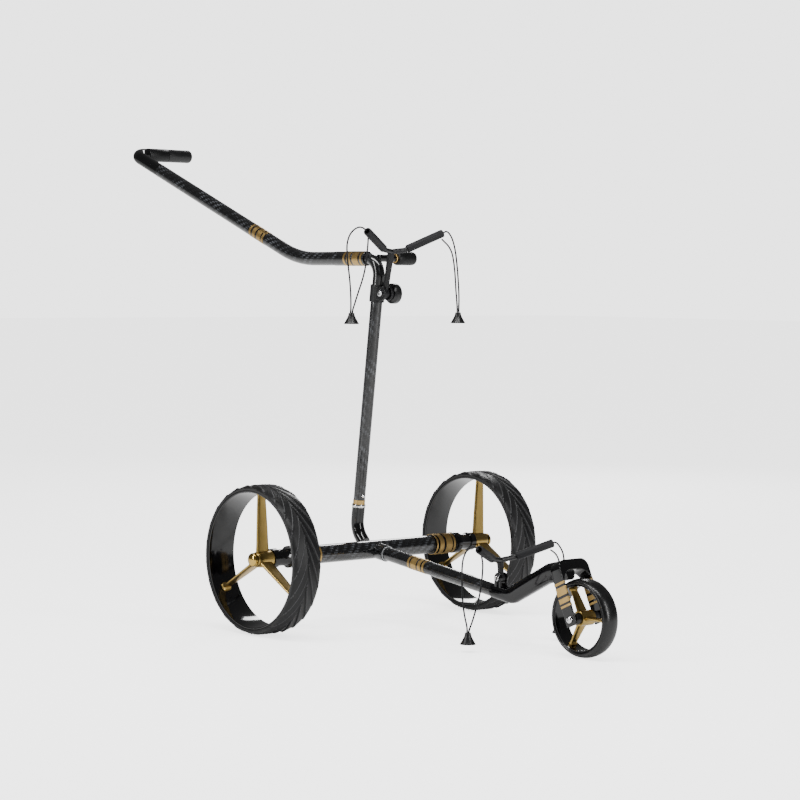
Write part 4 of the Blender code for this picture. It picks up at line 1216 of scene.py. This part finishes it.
@dataclass
class Axle:
    """The axle's tube, sleeves and end collars, and the two sockets on it."""

    shop: Workshop
    elbow_radius: float = 0.0130

    def build(self) -> None:
        """Makes the axle's pieces."""
        at = self.shop.datum.at(0, 0, AXLE_HEIGHT)
        tube = [(0.0168, -0.1505), (0.0180, -0.1505), (0.0183, -0.1502), (0.0183, 0.0), (0.0183, 0.1502),
                (0.0180, 0.1505), (0.0168, 0.1505)]
        piece(turned("axle_centre_tube", tube, at, X_AXIS, 96, ring=True), CARBON, "chassis",
              ["axle_tube"])
        stub = [(0.0137, 0.0150), (0.0166, 0.0150), (0.0166, 0.0397), (0.0163, 0.0400), (0.0137, 0.0400)]
        piece(turned("front_stub", stub, at, FRONT_WAY, 96, ring=True), CARBON, "chassis")
        collar = [(0.0137, 0.0403), (0.0150, 0.0403), (0.0152, 0.0405), (0.0152, 0.0427), (0.0150, 0.0429),
                  (0.0137, 0.0429)]
        piece(turned("front_tube_ring", collar, at, FRONT_WAY, 96, ring=True), MACHINED, "chassis",
              ["front_collar"])
        for side in Side:
            self.half(side, at)
        self.socket()

    def half(self, side: Side, at: Vector) -> None:
        """The sleeve, end collar and gold bands of one side.

        Args:
            side: The side to build.
            at: A point on the axle's middle.
        """
        out = X_AXIS * side.value
        sleeve = [(0.0168, 0.1508), (0.0200, 0.1508), (0.0205, 0.1513), (0.0205, 0.1780),
                  (0.0205, 0.2045), (0.0200, 0.2050), (0.0168, 0.2050)]
        piece(turned(f"{side.label}_sleeve", sleeve, at, out, 96, ring=True), LACQUER, "chassis",
              [f"{side.label}_axle_sleeve"])
        piece(end_collar(f"{side.label}_end_collar", at, out), LACQUER, "chassis",
              [f"{side.label}_axle_end"])
        spans = [(at + out * a, at + out * b) for a, b in (
            (0.1510, 0.1545), (0.1600, 0.1710), (0.1770, 0.1935), (0.1970, 0.2020))]
        self.shop.round_bands(f"{side.label}_axle_bands", spans, 0.0205, "chassis")

    def socket(self) -> None:
        """The elbow that holds the shaft, and its bright collar."""
        corner = self.shop.datum.at(0, *shaft_place(0.1800))
        top = self.shop.datum.at(0, *shaft_place(0.2260))
        foot = corner + Vector((0, 0.0431, -0.0431)) * 0.55
        path = filleted([top, corner, foot], 0.0450, 0.08)
        piece(swept("shaft_elbow", path, self.elbow_radius, 64), LACQUER, "chassis", ["shaft_socket"],
              bevel=0.0008)
        ring = [(0.01205, 0.0004), (0.0134, 0.0004), (0.0136, 0.0008), (0.0136, 0.0056), (0.0134, 0.0060),
                (0.01205, 0.0060)]
        piece(turned("shaft_ring", ring, top, SHAFT_RISE, 96, ring=True), CHROME, "chassis",
              ["shaft_collar"])


def end_collar(name: str, at: Vector, out: Vector) -> bpy.types.Mesh:
    """The stepped end collar of the axle, with a raised edge by the wheel.

    Args:
        name: The mesh's name.
        at: A point on the axle's middle.
        out: The way outwards along X.

    Returns:
        The collar's mesh.
    """
    outside = [(0.0210, 0.2053), (0.0215, 0.2058), (0.0215, 0.2210), (0.0210, 0.2215), (0.0163, 0.2217),
               (0.0160, 0.2222), (0.0160, 0.2492), (0.0164, 0.2496), (0.0181, 0.2497), (0.0185, 0.2502),
               (0.0185, 0.2622), (0.0181, 0.2627)]
    bore = [(0.0112, 0.2627), (0.0112, 0.2053)]
    return turned(name, outside + bore, at, out, 96, ring=True)


def shaft_place(height: float) -> tuple[float, float]:
    """The shaft's centre at a height, as its design Y and Z."""
    return SHAFT_FOOT_Y + SHAFT_LEAN * (height - SHAFT_FOOT_Z), height


@dataclass
class FrontEnd:
    """The front tube, the bent beam, the fork and the small front wheel."""

    shop: Workshop
    axle: Vector = field(default_factory=lambda: Vector((0, 0.5919, 0.0727)))
    lean: float = math.radians(24.5)
    fork_half_width: float = 0.0378
    fork_leg: float = 0.0038
    fork_depth: float = 0.0260
    fork_corner: float = 0.0012
    tube_radius: float = 0.0133

    def build(self) -> None:
        """Makes the front end's pieces."""
        at = self.shop.datum.at
        up = Vector((0, -math.sin(self.lean), math.cos(self.lean)))
        centre = at(*self.axle)
        self.tube_and_beam(up, centre)
        self.fork(up, centre)
        self.wheel(centre)

    def tube_and_beam(self, up: Vector, centre: Vector) -> None:
        """The carbon tube with its bands, and the lacquered beam that bends up to the fork.

        Args:
            up: The way up the fork's legs.
            centre: The wheel's centre.
        """
        at = self.shop.datum.at
        axle = at(0, 0, AXLE_HEIGHT)
        start, end = axle + FRONT_WAY * 0.0192, axle + FRONT_WAY * (0.3520 / FRONT_WAY.y)
        piece(swept("front_carbon_tube", [start.lerp(end, k / 8) for k in range(9)], self.tube_radius, 64),
              CARBON, "front_frame", ["front_tube"])
        spans = [tuple(axle + FRONT_WAY * (y / FRONT_WAY.y) for y in span) for span in (
            (0.1155, 0.1208), (0.1249, 0.1408), (0.1449, 0.1534), (0.1575, 0.1628))]
        self.shop.round_bands("front_tube_bands", spans, self.tube_radius, "front_frame")
        path = filleted([end + FRONT_WAY * 0.0003, at(0, 0.3990, 0.0930), at(0, 0.5000, 0.1450),
                         centre + up * 0.0935], 0.0300, 0.08)
        count = len(path) - 1
        sizes = [(0.0133 - 0.0023 * i / count, 0.0135 + 0.0055 * i / count) for i in range(count + 1)]
        piece(swept("front_bent_beam", path, sizes, 64, power=2.6), LACQUER, "front_frame",
              ["front_beam"])
        pivot = at(0, 0.3700, 0.1240)
        for side in Side:
            out = X_AXIS * side.value
            lug = [(AXIS, 0.0058), (0.0100, 0.0058), (0.0105, 0.0063), (0.0105, 0.0080), (0.0095, 0.0085),
                   (0.0085, 0.0105), (AXIS, 0.0105)]
            piece(turned(f"{side.label}_bracket_lug", lug, pivot, out, 64), LACQUER, "front_frame")
            web = [pivot + out * 0.0082 + Vector((0, 0, -z)) for z in (0.002, 0.010, 0.018, 0.026)]
            piece(swept(f"{side.label}_lug_web", web, [(0.0022, 0.0085), (0.0022, 0.0088), (0.0022, 0.0094),
                                                       (0.0022, 0.0104)], 32, power=4.0),
                  LACQUER, "front_frame")
        bolt = [(AXIS, 0.0142), (0.0046, 0.0141), (0.0053, 0.0134), (0.0058, 0.0125), (0.0058, 0.0108),
                (0.0030, 0.0108), (0.0030, -0.0108), (0.0055, -0.0108), (0.0055, -0.0133),
                (0.0050, -0.0138), (AXIS, -0.0138)]
        piece(turned("lower_pivot_bolt", bolt, pivot, X_AXIS, 64), CHROME, "front_frame",
              ["lower_bracket_bolt"])

    def fork(self, up: Vector, centre: Vector) -> None:
        """The moulded fork, its gold bands and its bolt.

        Args:
            up: The way up the fork's legs.
            centre: The wheel's centre.
        """
        h, leg = self.fork_half_width, self.fork_leg
        forward = Vector((0, math.cos(self.lean), math.sin(self.lean)))
        outer = filleted([Vector((h, -0.012, 0)), Vector((h, 0.110, 0)), Vector((-h, 0.110, 0)),
                          Vector((-h, -0.012, 0))], 0.0170)
        inner = filleted([Vector((leg - h, -0.012, 0)), Vector((leg - h, 0.090, 0)),
                          Vector((h - leg, 0.090, 0)), Vector((h - leg, -0.012, 0))], 0.0240)
        curve = bpy.data.curves.new("front_yoke", "CURVE")
        curve.dimensions, curve.fill_mode = "2D", "BOTH"
        curve.extrude = self.fork_depth / 2 - self.fork_corner
        curve.bevel_depth, curve.offset, curve.bevel_resolution = self.fork_corner, -self.fork_corner, 4
        spline = curve.splines.new("POLY")
        points = outer + inner
        spline.points.add(len(points) - 1)
        for point, place in zip(spline.points, points):
            point.co = (*place, 1)
        spline.use_cyclic_u = True
        helper = bpy.data.objects.new("front_yoke_helper", curve)
        bpy.context.scene.collection.objects.link(helper)
        mesh = plain_mesh(helper, "front_yoke")
        turn = Matrix(((1, 0, 0), (0, up.y, -forward.y), (0, up.z, -forward.z))).to_4x4()
        mesh.transform(Matrix.Translation(centre) @ turn)
        piece(facing_out(mesh), LACQUER, "front_frame", ["front_fork"])
        for side in Side:
            middle = centre + X_AXIS * side.value * (h - leg / 2)
            spans = [(middle + up * a, middle + up * b) for a, b in (
                (0.0240, 0.0281), (0.0322, 0.0413), (0.0464, 0.0616), (0.0661, 0.0706))]
            self.shop.band_set(f"{side.label}_fork_bands", spans, leg + 2 * BAND_GAP,
                               self.fork_depth + 2 * BAND_GAP, self.fork_corner, "front_frame")
        head = [(AXIS, 0.0410), (0.0022, 0.0410), (0.0024, 0.0424), (0.0045, 0.0422), (0.0060, 0.0412),
                (0.0067, 0.0398), (0.0067, 0.0381), (0.0037, 0.0381), (0.0037, -0.0381),
                (0.0060, -0.0381), (0.0060, -0.0414), (0.0054, -0.0420), (AXIS, -0.0420)]
        piece(turned("front_axle_screw", head, centre, X_AXIS, 64), CHROME, "front_frame",
              ["front_axle_bolt"])

    def wheel(self, centre: Vector) -> None:
        """The front wheel's smooth tyre, gloss rim and gold spoked hub.

        Args:
            centre: The wheel's centre.
        """
        h, r = 0.0184, 0.0727
        side_wall = [(0.0615, h - 0.0024), (0.0632, h - 0.0008), (0.0650, h), (0.0668, h - 0.0006),
                     (0.0686, h - 0.0022), (0.0702, h - 0.0048), (0.0714, h - 0.0082), (0.0722, h - 0.0122),
                     (r - 0.0001, h - 0.0160)]
        profile = side_wall + [(r, 0.0)] + [(a, -b) for a, b in reversed(side_wall)]
        piece(turned("front_smooth_tyre", profile, centre, X_AXIS, 160, ring=True), FRONT_TYRE,
              "front_wheel", ["front_tyre"], crease=70)
        a, b, w, c = 0.0592, 0.0612, 0.0165, 0.0006
        rim = [(a, w - c), (a + c, w), (b - c, w), (b, w - c), (b, 0), (b, c - w), (b - c, -w), (a + c, -w),
               (a, c - w), (a, 0)]
        piece(turned("front_gloss_rim", rim, centre, X_AXIS, 128, ring=True), LACQUER, "front_wheel",
              ["front_rim"])
        hub = [(0.0040, 0.0165), (0.0134, 0.0165), (0.0140, 0.0159), (0.0140, 0.0), (0.0140, -0.0159),
               (0.0134, -0.0165), (0.0040, -0.0165)]
        piece(turned("front_hub_barrel", hub, centre, X_AXIS, 96, ring=True), GOLD, "front_wheel",
              ["front_wheel_hub"])
        for side in Side:
            spacer = [(0.0040, 0.0167), (0.0106, 0.0167), (0.0110, 0.0171), (0.0110, 0.0296),
                      (0.0106, 0.0300), (0.0040, 0.0300)]
            piece(turned(f"front_{side.label}_spacer", spacer, centre, X_AXIS * side.value, 64, ring=True),
                  KNOB_PLASTIC, "front_wheel")
        reach = [(0.0080, 0.0122, 0.0046), (0.0150, 0.0118, 0.0042), (0.0250, 0.0108, 0.0036),
                 (0.0400, 0.0094, 0.0031), (0.0535, 0.0081, 0.0028), (0.0552, 0.0082, 0.0042),
                 (0.0560, 0.0085, 0.0062), (0.0582, 0.0086, 0.0066), (0.0589, 0.0084, 0.0064)]
        path = [Vector((0, r, 0)) for r, _, _ in reach]
        blade = swept("front_blade", path, [(w, t) for _, w, t in reach], 40, power=2.6)
        made = self.shop.repeat.run("front_spokes", blade, Count=3, Centre=tuple(centre),
                                    Finish=GOLD.material())
        piece(made, GOLD, "front_wheel")


@dataclass
class Shaft:
    """The leaning shaft and what is fixed to it."""

    shop: Workshop
    radius: float = 0.01175
    handle_height: float = 0.7258

    def build(self) -> None:
        """Makes the shaft's pieces."""
        at = self.shop.datum.at
        top_end = at(0, -0.1140, self.handle_height)
        corners = [at(0, *shaft_place(0.2045)), at(0, *shaft_place(self.handle_height)), top_end]
        path = filleted(corners, 0.0330, 0.07)
        piece(swept("leaning_shaft", path, self.radius, 64), CARBON, "shaft", ["shaft_tube"])
        foot = at(0, *shaft_place(0.2330))
        self.shop.round_bands("shaft_band", [(foot, foot + SHAFT_RISE * 0.0085)], self.radius, "shaft")
        facing = SHAFT_RISE.cross(X_AXIS)
        place = at(0, *shaft_place(0.2500))
        button = [(AXIS, 0.0142), (0.0016, 0.0141), (0.0027, 0.0135), (0.0034, 0.0124), (0.0035, 0.0110),
                  (0.0035, 0.0085), (AXIS, 0.0085)]
        piece(turned("spring_button", button, place, facing, 48), CHROME, "snap_button",
              ["shaft_snap_button"])
        self.post()
        self.clamp()

    def post(self) -> None:
        """The side post with its gold ring and rubber cap."""
        at = self.shop.datum.at(0, -0.0005, 0.7268)
        out = X_AXIS * -1
        rod = [(AXIS, 0.0050), (0.0075, 0.0050), (0.0075, 0.0490), (AXIS, 0.0490)]
        piece(turned("side_post", rod, at, out, 64), LACQUER, "shaft", ["accessory_post"])
        cap = [(0.0076, 0.0510), (0.0110, 0.0510), (0.0130, 0.0518), (0.0138, 0.0535), (0.0138, 0.0650),
               (0.0138, 0.0900), (0.0134, 0.0945), (0.0122, 0.0972), (0.0100, 0.0985), (AXIS, 0.0985),
               (AXIS, 0.0500), (0.0076, 0.0500)]
        piece(turned("post_cap", cap, at, out, 96), GRIP_RUBBER, "shaft")
        ring = [(0.0076, 0.0470), (0.0092, 0.0470), (0.0095, 0.0474), (0.0095, 0.0502), (0.0092, 0.0506),
                (0.0076, 0.0506)]
        piece(turned("post_ring", ring, at, out, 96, ring=True), BAND_GOLD, "shaft")

    def clamp(self) -> None:
        """The bracket clamp on the shaft, and its knob with ribs round its rim."""
        piece(moulded("bracket_clamp", "upper_clamp", 0.5 * MM, 6), NYLON, "shaft", ["upper_clamp"])
        pivot = self.shop.datum.at(0, 0.0272, 0.6566)
        core = [(AXIS, 0.0120), (0.0095, 0.0122), (0.0140, 0.0138), (0.0192, 0.0156), (0.0203, 0.0166),
                (0.0203, 0.0266), (0.0196, 0.0282), (0.0176, 0.0298), (0.0150, 0.0300), (AXIS, 0.0296)]
        knob = turned("clamp_knob", core, pivot, X_AXIS * -1, 96)
        rib_path = [Vector((-0.0170 - 0.0016 * k, 0, 0.0198)) for k in range(7)]
        rib = swept("rib", rib_path, [(0.0011, 0.0011)] * 7, 10)
        ribs = self.shop.repeat.run("clamp_knob_ribs", rib, Count=18, Centre=tuple(pivot),
                                    Finish=KNOB_PLASTIC.material())
        piece(joined("clamp_hand_knob", [knob, ribs]), KNOB_PLASTIC, "upper_knob", ["upper_clamp_knob"])
        stud = [(AXIS, 0.0162), (0.0028, 0.0163), (0.0045, 0.0163), (0.0056, 0.0156), (0.0060, 0.0146),
                (0.0060, 0.0122), (0.0040, 0.0122), (0.0040, -0.0122), (AXIS, -0.0122)]
        piece(turned("clamp_stud", stud, pivot, X_AXIS, 64), CHROME, "upper_knob")


@dataclass
class Handle:
    """The handle: its socket, long carbon tube, elbow, grip and speed knob."""

    shop: Workshop
    height: float = 0.7258
    socket_radius: float = 0.0145
    tube_radius: float = 0.0139
    grip_radius: float = 0.0147

    def build(self) -> None:
        """Makes the handle's pieces."""
        at = self.shop.datum.at
        corner, elbow = at(0, -0.2480, self.height), at(0, -0.8415, 0.9602)
        rise = (elbow - corner).normalized()
        tube_end = corner + rise * ((at(0, -0.7380, 0).y - corner.y) / rise.y)
        back = Vector((0, -1, 0))
        r = self.socket_radius
        socket = [(0.0121, 0), (0.0141, 0), (r, 0.0004), (r, 0.0450), (r, 0.0994),
                  (0.0141, 0.0998), (0.0121, 0.0998)]
        piece(turned("handle_sleeve", socket, at(0, -0.0262, self.height), back, 96, ring=True), CARBON,
              "handle", ["handle_socket"])
        path = filleted([at(0, -0.1263, self.height), corner, tube_end], 0.2800, 0.02)
        piece(swept("handle_carbon_tube", path, self.tube_radius, 72), CARBON, "handle", ["handle_tube"])
        self.band_rows(at, corner, rise)
        self.bend(tube_end, elbow, rise)
        self.grip(elbow)

    def band_rows(self, at: Callable[..., Vector], corner: Vector, rise: Vector) -> None:
        """The gold bands on the socket and part way up the slope.

        Args:
            at: Turns a design place into one in the frame.
            corner: Where the level tube meets the slope.
            rise: The way up the slope.
        """
        level = [(at(0, a, self.height), at(0, b, self.height)) for a, b in (
            (-0.0884, -0.0827), (-0.0764, -0.0654), (-0.0600, -0.0418), (-0.0364, -0.0310))]
        self.shop.round_bands("handle_socket_bands", level, self.socket_radius, "handle")

        def on_slope(y: float) -> Vector:
            """The slope's centre at a design Y."""
            return corner + rise * ((at(0, y, 0).y - corner.y) / rise.y)

        slope = [(on_slope(a), on_slope(b)) for a, b in (
            (-0.3994, -0.3935), (-0.3883, -0.3788), (-0.3736, -0.3609), (-0.3573, -0.3515))]
        self.shop.round_bands("handle_slope_bands", slope, self.tube_radius, "handle")

    def bend(self, tube_end: Vector, elbow: Vector, rise: Vector) -> None:
        """The lacquered elbow that turns to the grip.

        Args:
            tube_end: The long tube's upper end.
            elbow: The corner between the slope and the grip.
            rise: The way up the slope.
        """
        path = filleted([tube_end + rise * 0.0003, elbow, elbow - X_AXIS * 0.0340], 0.0300, 0.08)
        piece(swept("handle_bend", path, 0.0138, 64), LACQUER, "handle", ["handle_elbow"], bevel=0.0006)
        lip = [(0.0138, 0.0004), (0.01415, 0.0006), (0.01415, 0.0032), (0.0138, 0.0034)]
        piece(turned("bend_lip", lip, tube_end, rise, 96, ring=True), LACQUER, "handle")

    def grip(self, elbow: Vector) -> None:
        """The rubber grip, and the ribbed speed knob with the button in its end.

        Args:
            elbow: The corner between the slope and the grip.
        """
        out, r = X_AXIS * -1, self.grip_radius
        sleeve = [(AXIS, 0.0343), (r - 0.0014, 0.0343), (r - 0.0005, 0.0347), (r, 0.0357), (r, 0.0600),
                  (r, 0.0864), (r - 0.0005, 0.0874), (r - 0.0014, 0.0877), (AXIS, 0.0877)]
        piece(turned("rubber_grip", sleeve, elbow, out, 96), GRIP_RUBBER, "handle", ["grip"])
        knob = [(AXIS, 0.0880), (r - 0.0014, 0.0880), (r - 0.0004, 0.0884), (r - 0.0002, 0.0894),
                (r - 0.0002, 0.1200), (r - 0.0002, 0.1456), (0.0143, 0.1478), (0.0134, 0.1500),
                (0.0120, 0.1513), (0.0106, 0.1520), (0.0068, 0.1520), (0.0066, 0.1516), (0.0066, 0.1480),
                (AXIS, 0.1480)]
        core = turned("speed_knob_core", knob, elbow, out, 96)
        rib_path = [Vector((-0.0960 - 0.0050 * k, 0, r - 0.0009)) for k in range(10)]
        rib = swept("grip_rib", rib_path, [(0.0008, 0.0008)] * 10, 10)
        ribs = self.shop.repeat.run("speed_knob_ribs", rib, Count=20, Centre=tuple(elbow),
                                    Finish=KNOB_PLASTIC.material())
        piece(joined("ribbed_speed_knob", [core, ribs]), KNOB_PLASTIC, "speed_dial", ["speed_knob"])
        button = [(AXIS, 0.1532), (0.0052, 0.1532), (0.0060, 0.1528), (0.0063, 0.1520), (0.0063, 0.1500),
                  (AXIS, 0.1500)]
        piece(turned("end_button", button, elbow, out, 64), CHROME, "power_switch", ["power_button"])


@dataclass
class Inside:
    """The drive's hidden pieces, which keep their CAD shapes."""

    nodes: dict[str, bpy.types.Object]

    def build(self) -> None:
        """Gives each hidden node its finish."""
        for side in Side:
            for part in ("axle_bearing", "motor_case", "gearbox", "motor_rotor", "drive_shaft"):
                self.dress(f"{side.label}_{part}", MACHINED)
        self.dress("controller_board", BOARD)

    def dress(self, node: str, finish: Finish) -> None:
        """Puts a finish on a CAD node that stays."""
        for slot in self.nodes[node].material_slots:
            slot.material = finish.material()
        LOG.info("%s keeps its CAD shape", node)


# ---------------------------------------------------------------- studio


@dataclass
class Studio:
    """The camera, the soft lights and the pale floor."""

    place: Vector = field(default_factory=lambda: Vector((3.1341, 3.7812, 0.6861)))
    yaw: float = 0.7149
    pitch: float = 0.0499
    roll: float = 0.0082
    lens_mm: float = 109.27
    floor_half: float = 30.0
    sky: float = 0.7
    glossy_sky: float = 0.13
    seen_sky: float = 3.0
    seen_floor: float = 2.2

    def build(self) -> None:
        """Makes the studio."""
        self.camera()
        self.floor()
        self.lights()

    def camera(self) -> None:
        """Places the camera low in front, on the trolley's right."""
        level = Vector((-math.sin(self.yaw), -math.cos(self.yaw), 0))
        ahead = level * math.cos(self.pitch) - Z_AXIS * math.sin(self.pitch)
        right = ahead.cross(Z_AXIS).normalized()
        up = right.cross(ahead)
        across_view = right * math.cos(self.roll) + up * math.sin(self.roll)
        up_view = up * math.cos(self.roll) - right * math.sin(self.roll)
        data = bpy.data.cameras.new("camera")
        data.lens, data.sensor_width = self.lens_mm, 36.0
        data.clip_start, data.clip_end = 0.1, 60.0
        camera = bpy.data.objects.new("camera", data)
        bpy.context.scene.collection.objects.link(camera)
        turn = Matrix((across_view, up_view, -ahead)).transposed().to_4x4()
        camera.matrix_world = Matrix.Translation(self.place) @ turn
        bpy.context.scene.camera = camera

    def floor(self) -> None:
        """A wide pale floor."""
        mesh = bpy.data.meshes.new("floor")
        half = self.floor_half
        mesh.from_pydata([(-half, -half, 0), (half, -half, 0), (half, half, 0), (-half, half, 0)], [],
                         [(0, 1, 2, 3)])
        floor = bpy.data.objects.new("floor", mesh)
        bpy.context.scene.collection.objects.link(floor)
        pale = bpy.data.materials.new("pale_floor")
        pale.use_nodes = True
        shader = pale.node_tree.nodes["Principled BSDF"]
        shader.inputs["Base Color"].default_value = linear("#f4f4f4")
        shader.inputs["Roughness"].default_value = 0.75
        shader.inputs["Emission Color"].default_value = (1, 1, 1, 1)
        path = add_node(pale.node_tree, "ShaderNodeLightPath")
        seen = add_node(pale.node_tree, MATHS, (path.outputs["Is Camera Ray"], self.seen_floor),
                        operation="MULTIPLY")
        pale.node_tree.links.new(seen.outputs[0], shader.inputs["Emission Strength"])
        mesh.materials.append(pale)
        floor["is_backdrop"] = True

    def lights(self) -> None:
        """A pale surround that glossy surfaces see as darker, and strip softboxes for their edges."""
        world = bpy.data.worlds.new("studio")
        world.use_nodes = True
        tree = world.node_tree
        path = add_node(tree, "ShaderNodeLightPath")
        strength: Any = self.sky
        for ray, level in (("Is Glossy Ray", self.glossy_sky), ("Is Camera Ray", self.seen_sky)):
            strength = add_node(tree, MATHS, (path.outputs[ray], level - self.sky, strength),
                                operation="MULTIPLY_ADD").outputs[0]
        tree.links.new(strength, tree.nodes["Background"].inputs["Strength"])
        tree.nodes["Background"].inputs["Color"].default_value = (1, 1, 1, 1)
        bpy.context.scene.world = world
        middle = Vector((0, 0, 0.45))
        for name, place, wide, tall, watts in (
                ("top_strip", Vector((0.9, 0.6, 3.0)), 3.4, 0.30, 85.0),
                ("right_strip", Vector((3.2, -0.6, 1.6)), 0.30, 2.6, 60.0),
                ("front_strip", Vector((-0.6, 3.8, 1.5)), 0.35, 2.6, 65.0),
                ("back_strip", Vector((-2.6, -2.2, 2.0)), 0.4, 2.4, 40.0)):
            data = bpy.data.lights.new(name, "AREA")
            data.shape, data.size, data.size_y, data.energy = "RECTANGLE", wide, tall, watts
            lamp = bpy.data.objects.new(name, data)
            bpy.context.scene.collection.objects.link(lamp)
            lamp.matrix_world = (Matrix.Translation(place)
                                 @ (place - middle).to_track_quat("Z", "Y").to_matrix().to_4x4())


# ---------------------------------------------------------------- the build

# A leg's points are (outward from the arm's tip, up from the arm's tip). On the left the two
# legs hang close together, and on the right they hang wide apart.
UPPER_LEGS = {
    "right": ([(0.0026, 0.0014), (0.0110, 0.0062), (0.0220, 0.0068), (0.0350, 0.0005), (0.0450, -0.0110),
               (0.0500, -0.0270), (0.0495, -0.0470), (0.0465, -0.0700), (0.0430, -0.0930),
               (0.0405, -0.1170), (0.0395, -0.1400), (0.0400, -0.1560)],
              [(0.0355, -0.1560), (0.0290, -0.1380), (0.0210, -0.1180), (0.0125, -0.0980),
               (0.0055, -0.0770), (0.0015, -0.0560), (-0.0010, -0.0370), (-0.0025, -0.0220),
               (-0.0028, -0.0126)]),
    "left": ([(0.0026, 0.0010), (0.0080, 0.0030), (0.0150, 0.0005), (0.0230, -0.0085), (0.0290, -0.0210),
              (0.0340, -0.0380), (0.0375, -0.0580), (0.0405, -0.0800), (0.0430, -0.1050),
              (0.0445, -0.1300), (0.0445, -0.1560)],
             [(0.0400, -0.1560), (0.0385, -0.1340), (0.0360, -0.1130), (0.0345, -0.0950),
              (0.0325, -0.0760), (0.0295, -0.0580), (0.0245, -0.0400), (0.0160, -0.0270),
              (0.0060, -0.0190), (-0.0028, -0.0126)]),
}
LOWER_LEGS = {
    "right": ([(0.0026, 0.0012), (0.0110, 0.0055), (0.0215, 0.0052), (0.0320, -0.0020), (0.0390, -0.0140),
               (0.0418, -0.0300), (0.0420, -0.0520), (0.0408, -0.0760), (0.0385, -0.1000),
               (0.0340, -0.1220), (0.0291, -0.1385), (0.0280, -0.1500)],
              [(0.0235, -0.1500), (0.0150, -0.1320), (0.0070, -0.1120), (-0.0010, -0.0900),
               (-0.0060, -0.0680), (-0.0090, -0.0470), (-0.0098, -0.0300), (-0.0085, -0.0200),
               (-0.0064, -0.0130)]),
    "left": ([(0.0026, 0.0010), (0.0100, -0.0010), (0.0190, -0.0095), (0.0270, -0.0225), (0.0295, -0.0380),
              (0.0290, -0.0550), (0.0270, -0.0760), (0.0250, -0.1000), (0.0235, -0.1230),
              (0.0225, -0.1370), (0.0225, -0.1500)],
             [(0.0180, -0.1500), (0.0165, -0.1300), (0.0165, -0.1080), (0.0175, -0.0860),
              (0.0185, -0.0640), (0.0185, -0.0480), (0.0155, -0.0340), (0.0085, -0.0230),
              (0.0000, -0.0165), (-0.0064, -0.0130)]),
}


# Each loop's real length in metres.
UPPER_LENGTHS = {"right": 0.400, "left": 0.385}
LOWER_LENGTHS = {"right": 0.381, "left": 0.364}


def corners(box: tuple[Vector, Vector]) -> list[list[float]]:
    """A box's two corners as plain lists."""
    return [[float(v) for v in corner] for corner in box]


def main() -> None:
    """Builds the studio and every sub-assembly in order."""
    logging.basicConfig(level=logging.INFO, format="%(name)s: %(message)s")
    for old in list(bpy.data.objects):
        bpy.data.objects.remove(old)
    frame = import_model()
    cad_box = corners(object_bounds())
    Studio().build()
    shop = Workshop(Datum.from_frame(), round_repeat_tree(), band_tree(), tread_tree())
    BagBracket(shop, Level.UPPER, Vector((0.0308, 0.0575, 0.7449)), Vector((0.0987, 0.0876, 0.7776)),
               UPPER_LEGS, UPPER_LENGTHS).build()
    BagBracket(shop, Level.LOWER, Vector((0.0312, 0.3780, 0.1634)), Vector((0.0958, 0.4114, 0.1877)),
               LOWER_LEGS, LOWER_LENGTHS).build()
    Axle(shop).build()
    for side in Side:
        DrivenWheel(shop, side).build()
    FrontEnd(shop).build()
    Shaft(shop).build()
    Handle(shop).build()
    Inside(frame["nodes"]).build()
    {"cad": cad_box, "visual": corners(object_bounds())}


if __name__ == "__main__":
    main()
